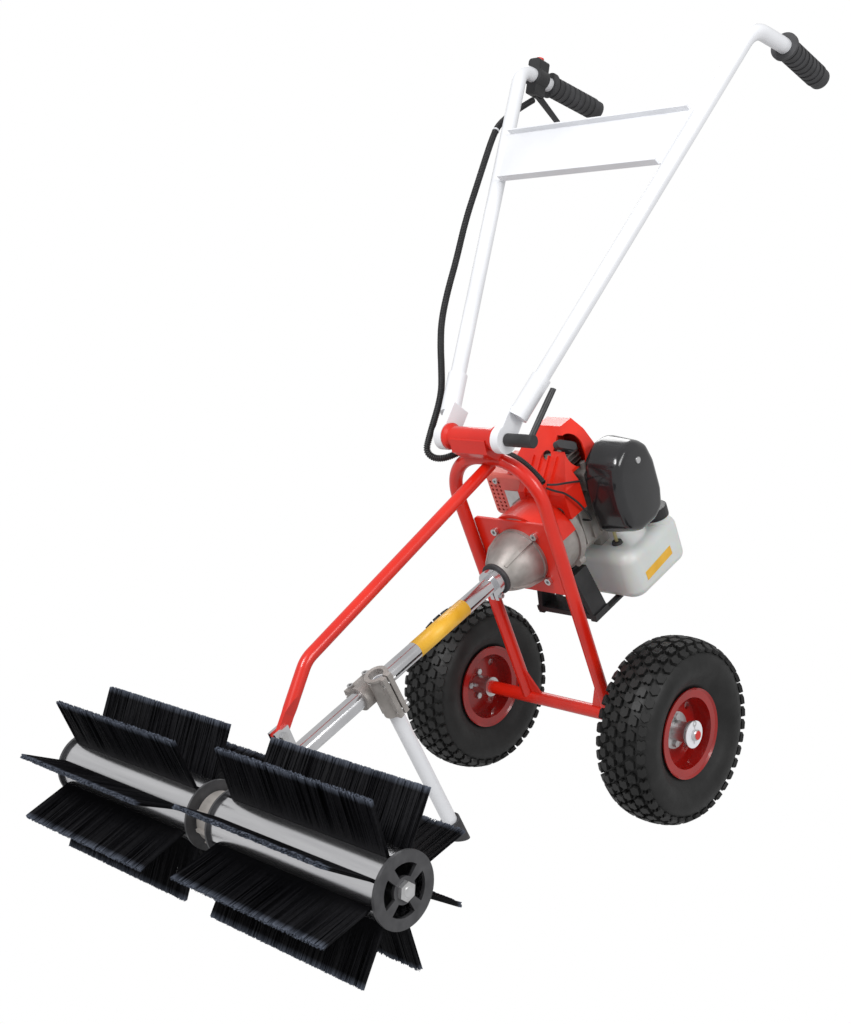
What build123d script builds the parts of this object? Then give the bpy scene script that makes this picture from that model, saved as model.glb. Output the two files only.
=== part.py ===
import os
from math import atan2, cos, pi, radians, sin, sqrt, tan

from build123d import *

os.makedirs("parts", exist_ok=True)

# The machine stands on the floor at z = 0, with the brush at -Y and the handles at +Y.
# The operator walks behind it, so the operator's left is +X.

# Main layout
axle_y = 210.6
tyre_radius = 130.0
tyre_width = 86.0
wheel_track = 370.0
brush_reach = 624.0
brush_height = 110.0
shaft_slope = 26.0
axle_z = tyre_radius
brush_y = axle_y - brush_reach

# Clearances
running_gap = 0.05
side_gap = 0.3

# Tubes of the frame and the handlebar
frame_tube_radius = 9.5
frame_tube_wall = 2.0
strut_tube_radius = 8.6
axle_tube_radius = 10.0
handle_tube_radius = 11.0
handle_tube_wall = 1.8
boom_radius = 12.0
boom_wall = 2.0

slope = radians(shaft_slope)
back_along_shaft = Vector(0, cos(slope), sin(slope))
up_from_shaft = Vector(0, -sin(slope), cos(slope))
brush_centre = Vector(0, brush_y, brush_height)


def shaft_point(station, x=0.0, up=0.0):
    """Point at a distance behind the brush axis, measured along the drive shaft."""
    return brush_centre + back_along_shaft * station + up_from_shaft * up + Vector(x, 0, 0)


def shaft_section(station, x=0.0, up=0.0):
    """Plane across the drive shaft; its x is +X, its y points up from the shaft, it faces the brush."""
    return Plane(shaft_point(station, x, up), x_dir=(1, 0, 0), z_dir=-back_along_shaft)


def shaft_side(x=0.0):
    """Plane along the drive shaft, facing +X; its x runs back along the shaft and its y points up from it."""
    return Plane(shaft_point(0, x), x_dir=back_along_shaft, z_dir=(1, 0, 0))


def side_plane(x, y, z):
    """Plane facing +X, with its x along +Y and its y along +Z."""
    return Plane((x, y, z), x_dir=(0, 1, 0), z_dir=(1, 0, 0))


def keep(builder, node):
    """Name the finished piece and write it."""
    builder.part.label = node
    export_step(builder.part, f"parts/{node}.step")


def sweep_tube(corners, bend_radii, outer_radius, wall):
    """Sweep a round tube along straight runs joined by bends, in the builder that is open."""
    with BuildLine() as route:
        if len(corners) > 2:
            FilletPolyline(*corners, radius=bend_radii)
        else:
            Line(*corners)
    with BuildSketch(Plane(route.line @ 0, z_dir=route.line % 0)) as section:
        Circle(outer_radius)
        if wall:
            Circle(outer_radius - wall, mode=Mode.SUBTRACT)
    sweep(section.sketch, path=route.line)


def hex_screw(head_plane, head_radius, head_height, shank_radius, shank_length):
    """Add a hexagon screw whose head stands on the plane and whose shank goes behind it."""
    with BuildSketch(head_plane) as head:
        RegularPolygon(head_radius, 6)
    extrude(head.sketch, amount=head_height)
    with BuildSketch(head_plane) as shank:
        Circle(shank_radius)
    extrude(shank.sketch, amount=-shank_length)


def cap_screw(head_plane, head_radius, head_height, shank_radius, shank_length):
    """Add a socket screw whose head stands on the plane and whose shank goes behind it."""
    with BuildSketch(head_plane) as head:
        Circle(head_radius)
        RegularPolygon(head_radius * 0.5, 6, mode=Mode.SUBTRACT)
    extrude(head.sketch, amount=head_height)
    with BuildSketch(head_plane) as shank:
        Circle(shank_radius)
    extrude(shank.sketch, amount=-shank_length)


# Wheels
axle_rod_radius = 7.5
rim_flange_radius = 63.0
rim_half_width = 31.0
rim_sheet = 2.2
bead_radius = 52.0
hub_radius = 14.0
hub_length = 60.0
hub_flange_radius = 26.0
hub_flange_thickness = 3.0
rim_bolt_circle = 19.0
rim_hole_circle = 41.0
rim_hole_radius = 5.2
washer_thickness = 2.5
tread_depth = 4.0
tread_blocks = 22
block_gap = 3.0
tyre_sidewall = 7.0
wheel_x = wheel_track / 2
rim_bolt_radius = 3.0


def wheel_section(x):
    """Plane through a wheel's axis; its x is +X and its y is the radius."""
    return Plane((x, axle_y, axle_z), x_dir=(1, 0, 0), z_dir=(0, -1, 0))


def wheel_face(x):
    """Plane across a wheel's axis at x, facing +X."""
    return side_plane(x, axle_y, axle_z)


axle_axis = Axis((0, axle_y, axle_z), (1, 0, 0))
carcass_radius = tyre_radius - tread_depth
carcass_shoulder = tyre_width / 2 - 0.3
bead_half = rim_half_width - 2 * rim_sheet
bead_seat = bead_radius + running_gap

with BuildPart() as left_tyre:
    with BuildSketch(wheel_section(wheel_x)):
        with BuildLine():
            Polyline((-bead_half, bead_seat), (bead_half, bead_seat))
            Line((bead_half, bead_seat), (bead_half, rim_flange_radius - 2))
            Spline(
                (bead_half, rim_flange_radius - 2),
                (carcass_shoulder, rim_flange_radius + 27),
                (carcass_shoulder - 12, carcass_radius - 5),
                tangents=((0.9, 1), (-1, 0.7)),
            )
            ThreePointArc(
                (carcass_shoulder - 12, carcass_radius - 5),
                (0, carcass_radius),
                (12 - carcass_shoulder, carcass_radius - 5),
            )
            Spline(
                (12 - carcass_shoulder, carcass_radius - 5),
                (-carcass_shoulder, rim_flange_radius + 27),
                (-bead_half, rim_flange_radius - 2),
                tangents=((-1, -0.7), (0.9, -1)),
            )
            Line((-bead_half, rim_flange_radius - 2), (-bead_half, bead_seat))
        make_face()
        with BuildLine():
            cavity_half = bead_half - tyre_sidewall
            cavity_top = carcass_radius - tyre_sidewall - 4
            Polyline(
                (-cavity_half, bead_seat + 8),
                (cavity_half, bead_seat + 8),
                (cavity_half + 9, rim_flange_radius + 27),
                (cavity_half, cavity_top),
                (-cavity_half, cavity_top),
                (-cavity_half - 9, rim_flange_radius + 27),
                close=True,
            )
        make_face(mode=Mode.SUBTRACT)
    revolve(axis=axle_axis)
    # Four rows of chevron tread blocks, staggered from row to row
    block_length = (2 * pi * carcass_radius / tread_blocks - block_gap) / 2
    row_width = (tyre_width - 14) / 4
    half_row = (row_width - block_gap * 0.6) / 2
    for row in range(4):
        block_planes = []
        for step in range(tread_blocks):
            turn = radians(360 / tread_blocks * (step + 0.5 * (row % 2)))
            outward = Vector(0, cos(turn), sin(turn))
            foot = Vector(wheel_x + (row - 1.5) * row_width, axle_y, axle_z) + outward * (carcass_radius - 7)
            block_planes.append(Plane(foot, x_dir=(1, 0, 0), z_dir=outward))
        with BuildSketch(*block_planes):
            Polygon(
                (-half_row, -block_length * 0.6),
                (0, -block_length),
                (half_row, -block_length * 0.6),
                (half_row, block_length),
                (0, block_length * 0.6),
                (-half_row, block_length),
                align=None,
            )
        block_top = sqrt(tyre_radius**2 - block_length**2) - 1.5 * (abs(row - 1.5) - 0.5)
        extrude(amount=block_top - (carcass_radius - 7))
keep(left_tyre, "left_tyre")

with BuildPart() as right_tyre:
    mirror(left_tyre.part, about=Plane.YZ)
keep(right_tyre, "right_tyre")

with BuildPart() as left_rim:
    # Outer pressed half: hub disc, dish, bead seat and rolled flange
    with BuildSketch(wheel_section(wheel_x)):
        with BuildLine():
            Polyline(
                (0, hub_radius + running_gap),
                (rim_sheet, hub_radius + running_gap),
                (rim_sheet, rim_hole_circle + 7),
                (12, bead_radius - rim_sheet),
                (rim_half_width - rim_sheet, bead_radius - rim_sheet),
                (rim_half_width - rim_sheet, rim_flange_radius - 3),
                (rim_half_width, rim_flange_radius),
                (rim_half_width - rim_sheet, rim_flange_radius),
                (rim_half_width - 2 * rim_sheet, rim_flange_radius - 3),
                (rim_half_width - 2 * rim_sheet, bead_radius),
                (11, bead_radius),
                (0, rim_hole_circle + 8),
                close=True,
            )
        make_face()
    revolve(axis=axle_axis)
    mirror(about=Plane((wheel_x, 0, 0), z_dir=(1, 0, 0)))
    with BuildSketch(wheel_face(wheel_x - 40)):
        with PolarLocations(rim_hole_circle, 4, start_angle=45):
            Circle(rim_hole_radius)
        with PolarLocations(rim_bolt_circle, 4, start_angle=0):
            Circle(rim_bolt_radius + 0.1)
    extrude(amount=80, mode=Mode.SUBTRACT)
    with BuildSketch(wheel_face(wheel_x)):
        with Locations((0, bead_radius - 3)):
            SlotOverall(12, 9)
    extrude(amount=20, both=True, mode=Mode.SUBTRACT)
keep(left_rim, "left_rim")

with BuildPart() as right_rim:
    mirror(left_rim.part, about=Plane.YZ)
keep(right_rim, "right_rim")

with BuildPart() as left_hub:
    with BuildSketch(wheel_section(wheel_x)):
        with BuildLine():
            Polyline(
                (-hub_length / 2, axle_rod_radius + running_gap),
                (hub_length / 2, axle_rod_radius + running_gap),
                (hub_length / 2, hub_radius + 3),
                (hub_length / 2 - 3, hub_radius + 3),
                (hub_length / 2 - 3, hub_radius),
                (rim_sheet + hub_flange_thickness, hub_radius),
                (rim_sheet + hub_flange_thickness, hub_flange_radius),
                (rim_sheet, hub_flange_radius),
                (rim_sheet, hub_radius),
                (-hub_length / 2, hub_radius),
                close=True,
            )
        make_face()
    revolve(axis=axle_axis)
    with BuildSketch(wheel_face(wheel_x)):
        with PolarLocations(rim_bolt_circle, 4, start_angle=0):
            Circle(rim_bolt_radius)
    extrude(amount=20, mode=Mode.SUBTRACT)
    # Four bolts through the flange and both halves of the rim
    head_side = rim_sheet + hub_flange_thickness
    for step in range(4):
        turn = radians(90 * step)
        bolt_y = axle_y + rim_bolt_circle * cos(turn)
        bolt_z = axle_z + rim_bolt_circle * sin(turn)
        hex_screw(side_plane(wheel_x + head_side, bolt_y, bolt_z), 5.0, 3.5, rim_bolt_radius, head_side + rim_sheet + 5)
        with BuildSketch(side_plane(wheel_x - rim_sheet - 4.5, bolt_y, bolt_z)) as nut:
            RegularPolygon(5.0, 6)
        extrude(nut.sketch, amount=4.5)
keep(left_hub, "left_hub")

with BuildPart() as right_hub:
    mirror(left_hub.part, about=Plane.YZ)
keep(right_hub, "right_hub")

# Axle
axle_tube_end = wheel_x - hub_length / 2 - washer_thickness - 2 * side_gap
axle_rod_end = wheel_x + hub_length / 2 + washer_thickness + 9.0
outer_washer_x = wheel_x + hub_length / 2 + side_gap
pin_x = outer_washer_x + washer_thickness + 2.0

with BuildPart() as axle_rod:
    with BuildSketch(wheel_face(-axle_rod_end)):
        Circle(axle_rod_radius)
    extrude(amount=2 * axle_rod_end)
    chamfer(axle_rod.edges().filter_by(GeomType.CIRCLE), 1.2)
    with Locations((pin_x, axle_y, axle_z), (-pin_x, axle_y, axle_z)):
        Hole(1.7, depth=40)
    for washer_x in (outer_washer_x, axle_tube_end, -axle_tube_end - washer_thickness, -outer_washer_x - washer_thickness):
        with BuildSketch(wheel_face(washer_x)):
            Circle(hub_radius + 1)
            Circle(axle_rod_radius + 0.1, mode=Mode.SUBTRACT)
        extrude(amount=washer_thickness)
    # Split pins
    for side in (-1, 1):
        with BuildSketch(Plane((side * pin_x, axle_y, axle_z - 13))):
            Circle(1.5)
        extrude(amount=25)
        with BuildSketch(side_plane(side * pin_x, axle_y, axle_z + 15)):
            Circle(4.2)
            Circle(2.0, mode=Mode.SUBTRACT)
        extrude(amount=1.2, both=True)
keep(axle_rod, "axle_rod")

# Arch and the parts welded to it
arch_station = 570.5
arch_base_x = 76.0
arch_top_x = 80.0
arch_height = 416.0
arch_bend = 69.0
engine_plate_station = 577.5
engine_plate_thickness = 4.0
engine_plate_half_width = 72.0
engine_plate_up = 56.0
engine_plate_down = 58.0
engine_bolt_pitch = 72.8
engine_bolt_radius = 3.0
clutch_mouth_radius = 31.0

arch_middle = shaft_point(arch_station)
arch_lean = atan2(axle_y - arch_middle.Y, arch_middle.Z - axle_z)


def arch_point(x, height):
    """Point in the leaning plane of the arch, at a height measured along it from the axle."""
    return Vector(x, axle_y - height * sin(arch_lean), axle_z + height * cos(arch_lean))


pivot_y = axle_y - 204.0
pivot_z = 533.0
pivot_half_length = 45.0
pivot_tube_radius = 14.0
pivot_flange_radius = 18.0
pivot_flange_thickness = 4.0
pivot_bolt_radius = 5.0

arch_corners = [
    arch_point(-arch_base_x, 0),
    arch_point(-arch_top_x, arch_height),
    arch_point(arch_top_x, arch_height),
    arch_point(arch_base_x, 0),
]

gusset_height = 46.0
gusset_width = 20.0
gusset_thickness = 3.0

# The arch as a solid bar, for cutting the parts that are welded against it
with BuildPart() as arch_bar:
    sweep_tube(arch_corners, arch_bend, frame_tube_radius, 0)

with BuildPart() as arch_tube:
    # Gussets between the legs of the arch and the axle tube
    for side in (-1, 1):
        inner = side * (arch_base_x - frame_tube_radius + 1.5)
        with BuildSketch(Plane(arch_point(0, 0), x_dir=(1, 0, 0), z_dir=(0, -cos(arch_lean), -sin(arch_lean)))):
            Polygon(
                (inner, axle_tube_radius - 1),
                (inner - side * gusset_width, axle_tube_radius - 1),
                (inner + side * 0.8, axle_tube_radius + gusset_height),
                align=None,
            )
        extrude(amount=gusset_thickness / 2, both=True)
    add(arch_bar.part, mode=Mode.SUBTRACT)
    sweep_tube(arch_corners, arch_bend, frame_tube_radius, frame_tube_wall)
    with BuildSketch(wheel_face(-axle_tube_end)):
        Circle(axle_tube_radius)
    extrude(amount=2 * axle_tube_end, mode=Mode.SUBTRACT)
    with BuildSketch(Plane((0, axle_y, axle_z - 30), z_dir=(0, 0, -1))):
        Rectangle(400, 100)
    extrude(amount=-30, mode=Mode.SUBTRACT)
    # Axle tube welded across the feet of the arch
    with BuildSketch(wheel_face(-axle_tube_end)) as axle_sleeve:
        Circle(axle_tube_radius)
        Circle(axle_rod_radius + 0.2, mode=Mode.SUBTRACT)
    extrude(axle_sleeve.sketch, amount=2 * axle_tube_end)
keep(arch_tube, "arch_tube")

with BuildPart() as engine_plate:
    plate_middle = (engine_plate_up - engine_plate_down) / 2
    with BuildSketch(shaft_section(engine_plate_station)):
        with Locations((0, plate_middle)):
            RectangleRounded(2 * engine_plate_half_width, engine_plate_up + engine_plate_down, 6)
        Circle(clutch_mouth_radius, mode=Mode.SUBTRACT)
        with GridLocations(engine_bolt_pitch, engine_bolt_pitch, 2, 2):
            Circle(engine_bolt_radius + 0.2, mode=Mode.SUBTRACT)
    extrude(amount=-engine_plate_thickness)
    # Side flanges folded back for stiffness
    with BuildSketch(shaft_section(engine_plate_station)):
        for side in (-1, 1):
            with Locations((side * (engine_plate_half_width - 8), plate_middle)):
                Rectangle(3, engine_plate_up + engine_plate_down - 16)
    extrude(amount=-engine_plate_thickness - 9)
    add(arch_bar.part, mode=Mode.SUBTRACT)
keep(engine_plate, "engine_plate")

pivot_axis = Axis((0, pivot_y, pivot_z), (1, 0, 0))

# The saddle is a folded plate from the pivot tube down to the arch, with a web behind it
saddle_half_width = 32.0
saddle_sheet = 3.0
arch_top = arch_point(0, arch_height)

saddle_front = (pivot_y - pivot_tube_radius, pivot_z - 3)
saddle_chin = (pivot_y - 8, pivot_z - pivot_tube_radius - 6)
saddle_foot = (arch_top.Y - frame_tube_radius, arch_top.Z)
saddle_back = (arch_top.Y + 4, arch_top.Z + frame_tube_radius)
saddle_tail = (pivot_y + pivot_tube_radius, pivot_z)

with BuildPart() as pivot_saddle:
    # Folded front sheet
    with BuildSketch(side_plane(0, 0, 0)):
        with BuildLine():
            Polyline(saddle_front, saddle_chin, saddle_foot)
            offset(amount=saddle_sheet / 2, side=Side.BOTH)
        make_face()
    extrude(amount=saddle_half_width, both=True)
    # Cheeks at both ends of the sheet
    for cheek_x in (-saddle_half_width, saddle_half_width - saddle_sheet):
        with BuildSketch(side_plane(cheek_x, 0, 0)):
            Polygon(saddle_front, saddle_chin, saddle_foot, saddle_back, saddle_tail, align=None)
        extrude(amount=saddle_sheet)
    add(arch_bar.part, mode=Mode.SUBTRACT)
    with BuildSketch(side_plane(0, pivot_y, pivot_z)):
        Circle(pivot_tube_radius - 1)
    extrude(amount=pivot_half_length, both=True, mode=Mode.SUBTRACT)
    # Pivot tube with a flange at each end
    with BuildSketch(Plane((0, pivot_y, pivot_z), x_dir=(1, 0, 0), z_dir=(0, -1, 0))):
        with BuildLine():
            flange_start = pivot_half_length - pivot_flange_thickness
            Polyline(
                (-pivot_half_length, pivot_bolt_radius + running_gap),
                (pivot_half_length, pivot_bolt_radius + running_gap),
                (pivot_half_length, pivot_flange_radius),
                (flange_start, pivot_flange_radius),
                (flange_start - 3, pivot_tube_radius),
                (3 - flange_start, pivot_tube_radius),
                (-flange_start, pivot_flange_radius),
                (-pivot_half_length, pivot_flange_radius),
                close=True,
            )
        make_face()
    revolve(axis=pivot_axis)
keep(pivot_saddle, "pivot_saddle")

# Boom: the shaft tube from the gearbox to the clutch housing
gearbox_mouth_station = 62.0
boom_start_station = 36.0
boom_end_station = 532.0
clutch_collar_station = 504.0
clutch_neck_radius = 18.0
clutch_mouth_station = 520.0

with BuildPart() as shaft_tube:
    with BuildSketch(shaft_section(boom_start_station)):
        Circle(boom_radius)
        Circle(boom_radius - boom_wall, mode=Mode.SUBTRACT)
    extrude(amount=boom_start_station - boom_end_station)
keep(shaft_tube, "shaft_tube")

# Strut from the arch down to a clamp on the boom, with a flattened lower end
strut_clamp_station = 112.0
strut_clamp_width = 22.0
strut_clamp_radius = 16.5
strut_tip = shaft_point(strut_clamp_station, 0, 37.0)
strut_top = Vector(0, axle_y - 178.5, 490.6)
strut_knee = Vector(0, axle_y - 499.0, 278.0)
strut_flat_thickness = 6.0
strut_flat_length = 38.0
strut_taper_length = 26.0
strut_bolt_radius = 3.0
strut_lower = (strut_knee - strut_tip).normalized()
strut_upper = (strut_top - strut_knee).normalized()

with BuildPart() as strut:
    sweep_tube([strut_tip - strut_lower * 10, strut_knee, strut_top + strut_upper * 8], 38, strut_tube_radius, 0)
    add(arch_bar.part, mode=Mode.SUBTRACT)
    # The lower end is pressed flat
    with BuildSketch(Plane(strut_tip, x_dir=strut_lower, z_dir=Vector(1, 0, 0).cross(strut_lower))):
        for side in (-1, 1):
            Polygon(
                (-12, side * strut_flat_thickness / 2),
                (strut_flat_length - 12, side * strut_flat_thickness / 2),
                (strut_flat_length + strut_taper_length - 12, side * (strut_tube_radius + 0.5)),
                (-12, side * (strut_tube_radius + 0.5)),
                align=None,
            )
    extrude(amount=strut_tube_radius + 1, both=True, mode=Mode.SUBTRACT)
    with BuildSketch(side_plane(0, strut_tip.Y, strut_tip.Z)):
        Circle(strut_bolt_radius + 0.2)
    extrude(amount=20, both=True, mode=Mode.SUBTRACT)
keep(strut, "strut")

with BuildPart() as boom_clamps:
    with BuildSketch(shaft_section(strut_clamp_station - strut_clamp_width / 2)):
        Circle(strut_clamp_radius)
        for side in (-1, 1):
            with Locations((side * (strut_flat_thickness / 2 + side_gap / 3 + 2), 30)):
                Rectangle(4, 34)
        with Locations((0, -strut_clamp_radius)):
            Rectangle(14, 14)
        Circle(boom_radius, mode=Mode.SUBTRACT)
        with Locations((0, -strut_clamp_radius - 3)):
            Rectangle(2.5, 16, mode=Mode.SUBTRACT)
    extrude(amount=-strut_clamp_width)
    with BuildSketch(side_plane(0, strut_tip.Y, strut_tip.Z)):
        Circle(strut_bolt_radius + 0.2)
    extrude(amount=20, both=True, mode=Mode.SUBTRACT)
    # Clamp collar in front of the clutch housing
    with BuildSketch(shaft_section(clutch_collar_station - 1)):
        Circle(clutch_neck_radius + 1)
        with Locations((0, -clutch_neck_radius - 3)):
            Rectangle(15, 10)
        Circle(boom_radius, mode=Mode.SUBTRACT)
        with Locations((0, -clutch_neck_radius)):
            Rectangle(2.4, 22, mode=Mode.SUBTRACT)
    extrude(amount=-11.5)
    with BuildSketch(Plane(shaft_point(clutch_collar_station + 4.7, 0, -clutch_neck_radius - 3), z_dir=(1, 0, 0))):
        Circle(2.1)
    extrude(amount=20, both=True, mode=Mode.SUBTRACT)
keep(boom_clamps, "boom_clamps")

# Stand leg, in the plane beside the boom
leg_x = 25.5
leg_radius = 10.0
leg_wall = 1.8
leg_foot_y = axle_y - 258.0
leg_foot_z = 0.0
leg_cross_y = axle_y - 392.0
leg_cross_z = brush_height + (leg_cross_y - brush_y) * tan(slope)
leg_foot = Vector(leg_x, leg_foot_y, leg_foot_z)
leg_cross = Vector(leg_x, leg_cross_y, leg_cross_z)
leg_up = (leg_cross - leg_foot).normalized()
leg_cross_height = (leg_cross - leg_foot).length
leg_station = (leg_cross_y - brush_y) / cos(slope)
leg_socket_length = 62.0
leg_socket_wall = 4.0
leg_tube_above = 22.0
foot_length = 34.0
foot_radius = 14.0


def leg_section(height):
    """Plane across the stand leg at a height along it, facing up the leg."""
    return Plane(leg_foot + leg_up * height, x_dir=(1, 0, 0), z_dir=leg_up)


with BuildPart() as leg_tube:
    with BuildSketch(leg_section(9)):
        Circle(leg_radius)
        Circle(leg_radius - leg_wall, mode=Mode.SUBTRACT)
    extrude(amount=leg_cross_height + leg_tube_above - 9)
keep(leg_tube, "leg_tube")

with BuildPart() as leg_foot_cap:
    with BuildSketch(leg_section(-20)):
        Circle(foot_radius)
    extrude(amount=20 + foot_length)
    with BuildSketch(leg_section(9)):
        Circle(leg_radius)
    extrude(amount=foot_length + 9, mode=Mode.SUBTRACT)
    chamfer(leg_foot_cap.edges().filter_by(GeomType.CIRCLE).sort_by(Axis.Z)[-1], 1.5)
    split(bisect_by=Plane((0, 0, leg_foot_z)), keep=Keep.TOP)
keep(leg_foot_cap, "leg_foot")

# Cross clamp: one collar round the boom and one socket round the leg, joined by a web, each slit and screwed
bracket_collar_radius = boom_radius + 4.5
bracket_socket_radius = leg_radius + leg_socket_wall
bracket_length = 46.0
bracket_slit = 2.4
ear_thickness = 7.0
bracket_screw_radius = 2.5
socket_start = leg_cross_height - leg_socket_length / 2
leg_side = leg_up.cross(Vector(1, 0, 0)).normalized()
screw_seat = ear_thickness + bracket_slit / 2
screw_planes = []
for height in (socket_start + 8, socket_start + leg_socket_length - 11):
    screw_seat_point = leg_foot + leg_up * height + Vector(bracket_socket_radius + 2.5, 0, 0) + leg_side * screw_seat
    screw_planes.append(Plane(screw_seat_point, x_dir=(1, 0, 0), z_dir=leg_side))
for station in (leg_station - bracket_length / 2 + 9, leg_station + bracket_length / 2 - 9):
    screw_seat_point = shaft_point(station, -bracket_collar_radius - 4.5, screw_seat)
    screw_planes.append(Plane(screw_seat_point, x_dir=(1, 0, 0), z_dir=up_from_shaft))

with BuildPart() as leg_bracket:
    with BuildSketch(shaft_section(leg_station - bracket_length / 2)):
        Circle(bracket_collar_radius)
        with Locations((-bracket_collar_radius - 2, 0)):
            Rectangle(14, 2 * ear_thickness + bracket_slit)
    extrude(amount=-bracket_length)
    with BuildSketch(leg_section(socket_start)):
        Circle(bracket_socket_radius)
        with Locations((bracket_socket_radius, 0)):
            Rectangle(12, 2 * ear_thickness + bracket_slit)
    extrude(amount=leg_socket_length)
    with BuildSketch(leg_section(socket_start)):
        with Locations((-7, 0)):
            Rectangle(14, 18)
    extrude(amount=leg_socket_length * 0.8)
    with BuildSketch(leg_section(socket_start + leg_socket_length - 3)):
        Circle(bracket_socket_radius + 2)
    extrude(amount=3)
    with BuildSketch(shaft_section(0)):
        Circle(boom_radius)
        with Locations((-bracket_collar_radius, 0)):
            Rectangle(26, bracket_slit)
    extrude(amount=-2 * leg_station, mode=Mode.SUBTRACT)
    with BuildSketch(leg_section(0)):
        Circle(leg_radius + side_gap)
        with Locations((bracket_socket_radius + 2, 0)):
            Rectangle(20, bracket_slit)
    extrude(amount=2 * leg_cross_height, mode=Mode.SUBTRACT)
    with BuildSketch(*screw_planes):
        Circle(bracket_screw_radius + 0.1)
    extrude(amount=-3 * ear_thickness, mode=Mode.SUBTRACT)
keep(leg_bracket, "leg_bracket")

# Right-angle gearbox at the middle of the brush
brush_shaft_radius = 6.0
drive_shaft_radius = 4.5
gear_case_radius = 30.0
gear_case_half = 17.0
gear_case_wall = 2.5
gear_boss_radius = 17.0
gear_boss_end = 32.0
gear_neck_radius = 16.3
gear_module = 1.6
gear_teeth = 24
pinion_teeth = 12
gear_pitch_radius = gear_module * gear_teeth / 2
pinion_pitch_radius = gear_module * pinion_teeth / 2
gear_face_share = 0.674
gear_cavity_radius = gear_pitch_radius + 5.0
brush_bearing_radius = 14.0
brush_bearing_start = 20.0
brush_bearing_width = 8.0
input_bearing_radius = 11.0
input_bearing_start = 23.0
input_bearing_width = 9.0
brush_axis = Axis((0, brush_y, brush_height), (1, 0, 0))
shaft_axis = Axis(brush_centre, back_along_shaft)


def brush_section():
    """Plane through the brush axis; its x is +X and its y is the radius."""
    return Plane(brush_centre, x_dir=(1, 0, 0), z_dir=(0, -1, 0))


def brush_face(x):
    """Plane across the brush axis at x, facing +X, turned so that its x runs along the drive shaft."""
    return Plane((x, brush_y, brush_height), x_dir=back_along_shaft, z_dir=(1, 0, 0))


def bevel_outline(teeth, pitch_radius, tip_radius, root_radius, size, turn):
    """Corners of a toothed section, scaled towards the point where both pitch cones meet."""
    corners = []
    step = 2 * pi / teeth
    for tooth in range(teeth):
        middle = turn + tooth * step
        for share, radius in ((-0.31, root_radius), (-0.11, tip_radius), (0.11, tip_radius), (0.31, root_radius)):
            angle = middle + share * step
            corners.append((size * radius * cos(angle), size * radius * sin(angle)))
    return corners


with BuildPart() as gearbox_housing:
    with BuildSketch(brush_section()):
        with BuildLine():
            Polyline(
                (0, 0),
                (gear_boss_end, 0),
                (gear_boss_end, gear_boss_radius - 1),
                (gear_boss_end - 1, gear_boss_radius),
                (gear_case_half, gear_boss_radius),
                (gear_case_half, gear_case_radius - 3),
                (gear_case_half - 3, gear_case_radius),
                (0, gear_case_radius),
                close=True,
            )
        make_face()
    revolve(axis=brush_axis)
    mirror(about=Plane.YZ)
    with BuildSketch(shaft_section(0)):
        Circle(gear_neck_radius)
    extrude(amount=-gearbox_mouth_station)
    with BuildSketch(shaft_section(gearbox_mouth_station - 12)):
        Circle(gear_neck_radius + 2)
        with Locations((0, gear_neck_radius + 3)):
            Rectangle(15, 12)
    extrude(amount=-12)
    # Inside of the case: gear space, pinion space, bearing seats and the seat of the boom
    with BuildSketch(brush_face(gear_case_wall - gear_case_half)):
        Circle(gear_cavity_radius)
    extrude(amount=2 * (gear_case_half - gear_case_wall), mode=Mode.SUBTRACT)
    with BuildSketch(brush_face(-gear_boss_end)):
        Circle(brush_shaft_radius + 2)
    extrude(amount=2 * gear_boss_end, mode=Mode.SUBTRACT)
    for side in (-1, 1):
        with BuildSketch(brush_face(side * brush_bearing_start)):
            Circle(brush_bearing_radius + running_gap)
        extrude(amount=side * (gear_boss_end - brush_bearing_start), mode=Mode.SUBTRACT)
    with BuildSketch(shaft_section(0)):
        Circle(input_bearing_radius + running_gap)
    extrude(amount=-input_bearing_start - input_bearing_width, mode=Mode.SUBTRACT)
    with BuildSketch(shaft_section(0)):
        Circle(drive_shaft_radius + 2)
    extrude(amount=-gearbox_mouth_station, mode=Mode.SUBTRACT)
    with BuildSketch(shaft_section(boom_start_station)):
        Circle(boom_radius)
        with Locations((0, gear_neck_radius)):
            Rectangle(2.4, 24)
    extrude(amount=-gearbox_mouth_station, mode=Mode.SUBTRACT)
    with BuildSketch(Plane(shaft_point(gearbox_mouth_station - 6, 0, gear_neck_radius + 4.5), z_dir=(1, 0, 0))):
        Circle(2.1)
    extrude(amount=20, both=True, mode=Mode.SUBTRACT)
    # Cooling and strength ribs round the case
    with BuildSketch(shaft_side(0)):
        with PolarLocations(gear_case_radius + 1, 5, start_angle=-70, angular_range=-200):
            Rectangle(5, 4)
    extrude(amount=gear_case_half - 5, both=True)
keep(gearbox_housing, "gearbox_housing")

gear_plane_x = pinion_pitch_radius
gear_tip = 22.2
gear_root = 16.5
pinion_tip = 10.98
pinion_root = 8.14

with BuildPart() as bevel_gear:
    with BuildSketch(brush_face(gear_plane_x)) as gear_heel:
        Polygon(*bevel_outline(gear_teeth, gear_pitch_radius, gear_tip, gear_root, 1, 0), align=None)
    with BuildSketch(brush_face(gear_plane_x * gear_face_share)) as gear_toe:
        Polygon(*bevel_outline(gear_teeth, gear_pitch_radius, gear_tip, gear_root, gear_face_share, 0), align=None)
    loft([gear_toe.sketch, gear_heel.sketch], ruled=True)
    with BuildSketch(brush_face(gear_plane_x)):
        Circle(gear_root - 0.4)
    extrude(amount=gear_case_half - gear_case_wall - gear_plane_x - 0.5)
    with BuildSketch(brush_face(0)):
        Circle(brush_shaft_radius)
    extrude(amount=gear_case_half, mode=Mode.SUBTRACT)
keep(bevel_gear, "bevel_gear")

pinion_back = gear_pitch_radius

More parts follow.
